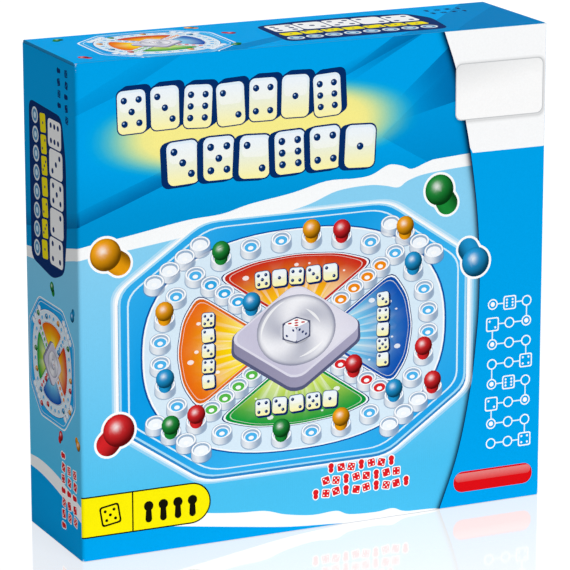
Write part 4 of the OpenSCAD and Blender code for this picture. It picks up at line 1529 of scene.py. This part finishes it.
class GAMECARTON_OT_packing(bpy.types.Operator):
    """Finishes the folded side fillers and folds the rules leaflet from four leaves"""

    bl_idname = "game_carton.packing"
    bl_label = "Packing"

    def execute(self, context):
        dress("filler", "side_filler_left", "side_filler_right")
        low, high = millimetres("rules_leaflet")
        leaves, gap = 4, 0.03
        thick = (high[1] - low[1] - 0.01) / leaves
        outline = [(low[0] + 0.25, low[1])]
        for k in range(leaves):
            end, y = high[0] - 0.5 * k, low[1] + thick * k
            outline += [(end, y), (end, y + thick - gap)]
            if k < leaves - 1:
                outline += [(low[0] + 0.5, y + thick - gap), (low[0] + 0.5, y + thick)]
        outline += [(low[0] + 0.25, high[1] - 0.01 - gap), (low[0], high[1] - 0.25), (low[0], low[1] + 0.2)]
        n = len(outline)
        verts = [(x, y, z) for z in (low[2], high[2]) for x, y in outline]
        faces = [(k, (k + 1) % n, n + (k + 1) % n, n + k) for k in range(n)]
        for tri in filled([outline], 1e-4):
            faces += [tuple(tri[::-1]), tuple(m + n for m in tri)]
        ob = facing_out(make_object("rules_leaflet_folded", verts, faces, "carton", ["paper"], soft=30))
        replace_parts(ob, "rules_leaflet")
        return {"FINISHED"}


# ---------------------------------------------------------------- operators: game


class GAMECARTON_OT_tray(bpy.types.Operator):
    """Rounds the edges of the tray and its cover, and lays the printed board under its clear sheet"""

    bl_idname = "game_carton.tray"
    bl_label = "Tray and Board"

    def execute(self, context):
        softened("housing", 0.45, "tray")
        softened("bottom_cover", 0.3, "tray")
        dress("board_print", "printed_board")
        dress("clear", "clear_cover")
        return {"FINISHED"}


class GAMECARTON_OT_fixings(bpy.types.Operator):
    """Turns the cross-head screws and the rubber feet"""

    bl_idname = "game_carton.fixings"
    bl_label = "Screws and Feet"

    def screw(self, radius, shank, head, length):
        """A pan-head screw with a cross recess. Its tip is at the bottom of its axis."""
        steps, pitch = 24, 0.8
        profile = [(shank * 0.45, 0.5)]
        for h in np.arange(0.9, length - head - 1.0, pitch):
            profile += [(shank * 0.78, h), (shank * 0.80, h + pitch * 0.3), (shank, h + pitch * 0.5),
                        (shank * 0.80, h + pitch * 0.7)]
        profile += [(shank, length - head - 0.4), (shank, length - head), (radius * 0.92, length - head),
                    (radius, length - head + 0.2), (radius * 0.98, length - head * 0.45),
                    (radius * 0.84, length - head * 0.12), (radius * 0.68, length)]
        verts = [(0, 0, 0)] + [(x, y, z) for r, z in profile for x, y in around(r, ways(steps))]
        faces = [(0, 1 + (k + 1) % steps, 1 + k) for k in range(steps)]
        for a in range(1, 1 + (len(profile) - 1) * steps, steps):
            faces += [(a + k, a + (k + 1) % steps, a + steps + (k + 1) % steps, a + steps + k)
                      for k in range(steps)]
        top = len(verts)
        lip = top - steps
        w, reach = radius * 0.13, radius * 0.47
        arm = [(w, reach), (-w, reach), (-w, w)]
        cross = np.vstack([turned(arm, (0, 0), quarter * math.pi / 2) for quarter in range(4)])
        verts += [(x, y, length) for x, y in cross] + [(x * 0.6, y * 0.6, length - head * 0.62) for x, y in cross]
        # the head's rim and the recess stand one after the other in the points, as they do here
        faces += [tuple(lip + m for m in tri) for tri in filled([[v[:2] for v in verts[lip:top]], cross])]
        faces += [(top + k, top + (k + 1) % 12, top + 12 + (k + 1) % 12, top + 12 + k) for k in range(12)]
        faces.append(tuple(top + 12 + k for k in range(12)))
        return facing_out(make_object("screw_source", verts, faces, None, [], soft=30))

    def execute(self, context):
        for node in ("housing_screws", "popper_screws"):
            found = shells(node)
            size, out = sized(found[0])
            radius = size[0] / 2
            head = np.ptp(found[0][out > radius * 0.9, 1])
            source = self.screw(radius, out.min(), float(head), float(size[1]))
            ob = repeated(node + "_turned", source, seats(found, np.min), (0, 1, 0), "carton", "screw",
                          spin=math.pi / 2, seed=11)
            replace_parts(ob, node)
        found = shells("feet")
        size = sized(found[0])[0]
        r, tall = size[0] / 2, size[1]
        profile = [(0, 0), (r * 0.97, 0), (r, 0.1), (r, tall * 0.7), (r * 0.97, tall * 0.92), (r * 0.9, tall),
                   (r * 0.62, tall), (r * 0.5, tall * 0.82), (0, tall * 0.78)]
        source = lathe("foot_source", profile, 48)
        ob = repeated("feet_moulded", source, seats(found, np.min), (0, 1, 0), "carton", "rubber")
        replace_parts(ob, "feet")
        return {"FINISHED"}


class GAMECARTON_OT_cups(bpy.types.Operator):
    """Moulds the clear rings of the track, the home rows and the start rows, with round lips"""

    bl_idname = "game_carton.cups"
    bl_label = "Peg Cups"

    def execute(self, context):
        for node in ("track_cups", "home_cups", "start_cups"):
            found = shells(node)
            size, out = sized(found[0])
            tall, a, b = size[1], out.min(), out.max()
            profile = [(a, 0.15), (a + 0.15, 0), (b - 0.3, 0), (b, 0.3), (b - 0.05, tall - 0.9),
                       (b - 0.2, tall - 0.4), (b - 0.5, tall - 0.08), (b - 0.85, tall), (a + 0.6, tall - 0.1),
                       (a + 0.2, tall - 0.5), (a + 0.04, tall - 1.1)]
            source = lathe("cup_source", profile, settings("game").turns)
            ob = repeated(node + "_moulded", source, seats(found, np.max), (0, -1, 0), "carton", "clear")
            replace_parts(ob, node)
        return {"FINISHED"}


class GAMECARTON_OT_popper(bpy.types.Operator):
    """Builds the popper: its square frame, the clear dome, the spring disc and the pot under it"""

    bl_idname = "game_carton.popper"
    bl_label = "Popper"

    def execute(self, context):
        softened("popper_bezel", 0.9, "bezel")
        softened("popper_cup", 0.4, "pot")
        low, high = millimetres("dome")
        flange, tall = (high - low)[0] / 2, (high - low)[1]
        r, wall, thick = flange - 3.0, 1.5, 1.6
        skirt = tall - r
        profile = [(r - wall + 0.15, 0), (r - 0.2, 0), (r, 0.2), (r, skirt), (flange - 0.3, skirt),
                   (flange, skirt + 0.3), (flange, skirt + thick - 0.3), (flange - 0.3, skirt + thick),
                   (r + 0.9, skirt + thick), (r + 0.25, skirt + thick + 0.35)]
        for radius, first, last in ((r, 8, 90), (r - wall, 90, 0)):
            profile += list(around(radius, np.radians(np.linspace(first, last, 18))) + (0, skirt))
        profile.append((r - wall, 0.15))
        dome = lathe("dome_clear", profile, 72, towards_front(low, high), "dome", "clear")
        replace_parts(dome, "dome")
        self.spring_disc(8)
        return {"FINISHED"}

    def spring_disc(self, sectors):
        """The thin disc, made as that many flat sectors round its middle, each a separate object, with rings of
        points from the pot's ridge out to where the dome's skirt presses its rim."""
        low, high = millimetres("snap_disc")
        middle, radius = (low + high) / 2, (high - low)[0] / 2
        ridge, skirt = 18.0, 20.7
        rings = [9.0, 16.0, *np.linspace(ridge, skirt, 5), 22.6, radius - 0.12, radius]
        steps = 6
        for k in range(sectors):
            along = 2 * math.pi * k / sectors
            angles = along + np.linspace(-math.pi / sectors, math.pi / sectors, steps + 1)
            verts = [(middle[0], low[1], middle[2]), (middle[0], high[1], middle[2])]
            rows = []
            for r in rings:
                inset = 0.12 if r == radius else 0.0
                rows.append([len(verts) + i for i in range(2 * steps + 2)])
                verts += [(x, y, z) for y in (low[1] + inset, high[1] - inset)
                          for x, z in around(r, angles) + middle[[0, 2]]]
            faces = []
            for side, centre in ((0, 0), (steps + 1, 1)):
                faces += [(centre, rows[0][side + i], rows[0][side + i + 1]) for i in range(steps)]
                faces += [(a[side + i], a[side + i + 1], b[side + i + 1], b[side + i])
                          for a, b in zip(rows, rows[1:]) for i in range(steps)]
            rim = rows[-1]
            faces += [(rim[i], rim[i + 1], rim[i + steps + 2], rim[i + steps + 1]) for i in range(steps)]
            for end in (0, steps):
                ends = [(0, 1)] + [(row[end], row[end + steps + 1]) for row in rows]
                faces += [(a[0], a[1], b[1], b[0]) for a, b in zip(ends, ends[1:])]
            ob = facing_out(make_object(f"snap_disc_{k + 1}", verts, faces, None, ["disc"], soft=30.0))
            out = np.array([math.cos(along), 0, math.sin(along)]) * MM
            start, end = (tuple(middle * MM + out * reach) for reach in (ridge, skirt))
            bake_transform(ob)
            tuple(start)
            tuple(end)
            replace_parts(ob, "snap_disc")


class GAMECARTON_OT_die(bpy.types.Operator):
    """Moulds the die with round edges and sets its enamel dots, red on one and four"""

    bl_idname = "game_carton.die"
    bl_label = "Die"

    def execute(self, context):
        low, high = millimetres("die")
        centre, side = (low + high) / 2, float((high - low)[0])
        work = bmesh.new()
        bmesh.ops.create_cube(work, size=side * MM)
        bmesh.ops.bevel(work, geom=work.edges[:] + work.verts[:], offset=side * 0.125 * MM, segments=4, profile=0.5,
                        affect="EDGES")
        bmesh.ops.translate(work, verts=work.verts, vec=centre * MM)
        ob = moulded("die_moulded", work, "die", "die")
        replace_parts(ob, "die")
        sides = {4: (0, -1, 0), 3: (0, 1, 0), 5: (1, 0, 0), 2: (-1, 0, 0), 1: (0, 0, 1), 6: (0, 0, -1)}
        dot = side * 0.085
        profile = [(0, -0.2), (dot * 0.8, -0.15), (dot, 0.0), (dot * 0.8, 0.05), (0, 0.07)]
        for name, counts, finish in (
            ("die_dots_red", (1, 4), "pip_red"), ("die_dots_navy", (2, 3, 5, 6), "pip_blue"),
        ):
            places, facing = [], []
            for count in counts:
                n = np.array(sides[count], float)
                u = np.roll(n, 1)
                v = np.cross(n, u)
                for x, y in PIPS[count]:
                    places.append(centre + n * (side / 2 - 0.02) + (u * x + v * y) * side * 0.24)
                    facing.append(n)
            source = lathe("dot_source", profile, 20)
            repeated(name, source, places, facing, "die", finish)
        return {"FINISHED"}


class GAMECARTON_OT_pegs(bpy.types.Operator):
    """Turns the sixteen ball-headed pegs, each with a round foot and a soft neck"""

    bl_idname = "game_carton.pegs"
    bl_label = "Pegs"

    def execute(self, context):
        for tone, i in [(tone, i) for tone in COLOURS for i in range(1, 5)]:
            node = f"peg_{tone}_{i}"
            low, high = millimetres(node)
            ball, tall = (high - low)[0] / 2, (high - low)[1]
            heart = tall - ball
            r = ball * 3.8 / 5.5
            start = math.asin(r * 1.02 / ball)
            profile = [(0, 0), (r * 0.86, 0), (r * 0.96, 0.15), (r, 0.55), (r, heart * 0.45),
                       (r * 0.95, heart * 0.58), (r * 0.925, heart * 0.655), (r * 0.95, heart * 0.69)]
            profile += list(around(ball, np.linspace(start - math.pi / 2, math.pi / 2, 20)) + (0, heart))
            ob = lathe(node + "_turned", profile, settings("game").turns, towards_front(low, high), node,
                       "peg_" + tone)
            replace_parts(ob, node)
            {"blue": "blue_plastic_peg"}.get(tone, tone + "_plastic")
        return {"FINISHED"}


# ---------------------------------------------------------------- operators: stage


class GAMECARTON_OT_stage(bpy.types.Operator):
    """Sets the pale floor, the soft studio light and the camera at the photograph's angle"""

    bl_idname = "game_carton.stage"
    bl_label = "Stage"

    def execute(self, context):
        self.floor()
        self.light(context.scene)
        self.camera(context.scene, settings("stage"))
        context.scene.view_settings.view_transform = "Standard"
        return {"FINISHED"}

    def in_view(self, tree):
        """1 for a ray that the eye follows, straight, mirrored or through clear parts, and 0 for a ray of light."""
        path = add(tree, "ShaderNodeLightPath").outputs
        found = path["Is Camera Ray"]
        for way in ("Is Glossy Ray", "Is Transmission Ray"):
            found = add(tree, "ShaderNodeMath", [(0, found), (1, path[way])], operation="MAXIMUM").outputs[0]
        return found

    def floor(self):
        """Polished white acrylic: bright, with a weak mirror image of what stands on it."""
        bpy.ops.mesh.primitive_plane_add(size=12.0, location=(0, 0, 0))
        floor = bpy.context.object
        floor.name = "studio_floor"
        floor.data.transform(Matrix.Translation((0, 0, -0.0003)))
        m = Finish("white_acrylic_floor")
        tree, tone, glow_level, glow_share = m.tree, 0.46, 1.27, 0.8
        m.set({"Base Color": (tone, tone, tone, 1), "Roughness": 0.6, "Specular IOR Level": 0.0})
        glow = add(tree, "ShaderNodeEmission", [("Color", (1, 1, 1, 1)), ("Strength", glow_level)])
        lit = m.calc("MULTIPLY", self.in_view(tree), glow_share)
        plain = add(tree, "ShaderNodeMixShader", [(0, lit), (1, m.shader.outputs[0]), (2, glow.outputs[0])])
        mirror = add(tree, "ShaderNodeBsdfGlossy", [("Color", (1, 1, 1, 1)), ("Roughness", 0.06)])
        # painted fade of the reflection: the mirror's share is set by the distance from the carton's foot, strongest
        # next to it and weaker from there on
        away, foot = m.place, (WIDE / 2, DEEP / 2, 1000.0)
        for work, *values in (("ABSOLUTE",), ("SUBTRACT", foot), ("MAXIMUM", (0.0, 0.0, 0.0)), ("LENGTH",)):
            node = add(tree, "ShaderNodeVectorMath", [(0, away)] + [(1, value) for value in values], operation=work)
            away = node.outputs["Value" if work == "LENGTH" else "Vector"]
        reach, near, far = 220.0, 0.28, 0.04
        share = m.spread(away, 0.0, reach, near, far)
        both = add(tree, "ShaderNodeMixShader", [(0, share), (1, plain.outputs[0]), (2, mirror.outputs[0])])
        plug(tree, tree.nodes["Material Output"], [("Surface", both.outputs[0])])
        floor.data.materials.append(m.material)

    def light(self, scene):
        """A white room that is dimmer as a lamp than it looks, and one large soft lamp at the upper front."""
        world = scene.world = bpy.data.worlds.new("studio")
        world.use_nodes = True
        tree = world.node_tree
        tree.nodes.clear()
        room, white = 0.44, 1.0
        level = add(tree, "ShaderNodeMapRange", [(0, self.in_view(tree)), (1, 0.0), (2, 1.0), (3, room), (4, white)])
        sky = add(tree, "ShaderNodeBackground", [("Color", (1, 1, 1, 1)), ("Strength", level.outputs[0])])
        add(tree, "ShaderNodeOutputWorld", [("Surface", sky.outputs[0])])
        key = bpy.data.lights.new("key_softbox", "SUN")
        key.energy = 2.24
        key.angle = math.radians(25)
        lamp = bpy.data.objects.new("key_softbox", key)
        scene.collection.objects.link(lamp)
        towards = Vector((0.15, -0.70, 0.70))
        lamp.rotation_euler = towards.to_track_quat("Z", "Y").to_euler()

    def camera(self, scene, s):
        """The camera that fits the photograph, looking a little past the carton's middle."""
        az, el = s.azimuth, s.elevation
        forward = Vector((-math.sin(az) * math.cos(el), math.cos(az) * math.cos(el), -math.sin(el)))
        right = Vector((math.cos(az), math.sin(az), 0))
        up = right.cross(forward)
        camera = bpy.data.cameras.new("camera")
        camera.lens = s.lens
        camera.sensor_width = 36.0
        camera.clip_end = 50
        eye = bpy.data.objects.new("camera", camera)
        scene.collection.objects.link(eye)
        aside, below = 0.0064, 0.0229  # how far past the carton's middle the camera looks, as shares of its width
        middle, wide = Vector((0, 0, TALL * MM / 2)), WIDE * MM
        eye.location = middle - forward * s.distance - right * (aside * wide) - up * (below * wide)
        eye.rotation_euler = Matrix((right, up, -forward)).transposed().to_euler()
        scene.camera = eye


class GAMECARTON_PT_panel(bpy.types.Panel):
    """Lists the carton's settings and its building steps"""

    bl_idname = "GAMECARTON_PT_panel"
    bl_label = "Game Carton"
    bl_space_type = "VIEW_3D"
    bl_region_type = "UI"
    bl_category = "Game Carton"

    def draw(self, context):
        for kind in SETTINGS:
            box = self.layout.box()
            box.label(text=kind.capitalize())
            for name in SETTINGS[kind].__annotations__:
                box.prop(settings(kind), name)
        for step in OPERATORS:
            self.layout.operator(step.bl_idname)


SETTINGS = {"carton": CartonSettings, "game": GameSettings, "stage": StageSettings}
OPERATORS = (
    GAMECARTON_OT_sleeve, GAMECARTON_OT_top, GAMECARTON_OT_bottom, GAMECARTON_OT_packing, GAMECARTON_OT_tray,
    GAMECARTON_OT_fixings, GAMECARTON_OT_cups, GAMECARTON_OT_popper, GAMECARTON_OT_die, GAMECARTON_OT_pegs,
    GAMECARTON_OT_stage,
)


def register():
    for cls in (*SETTINGS.values(), *OPERATORS, GAMECARTON_PT_panel):
        bpy.utils.register_class(cls)
    for kind, cls in SETTINGS.items():
        setattr(bpy.types.Scene, "game_carton_" + kind, PointerProperty(type=cls))


def unregister():
    for kind in SETTINGS:
        delattr(bpy.types.Scene, "game_carton_" + kind)
    for cls in (GAMECARTON_PT_panel, *reversed(OPERATORS), *SETTINGS.values()):
        bpy.utils.unregister_class(cls)


def main():
    register()
    bpy.ops.game_carton.sleeve()
    bpy.ops.game_carton.top()
    bpy.ops.game_carton.bottom()
    bpy.ops.game_carton.packing()
    bpy.ops.game_carton.tray()
    bpy.ops.game_carton.fixings()
    bpy.ops.game_carton.cups()
    bpy.ops.game_carton.popper()
    bpy.ops.game_carton.die()
    bpy.ops.game_carton.pegs()
    bpy.ops.game_carton.stage()


if __name__ == "__main__":
    main()
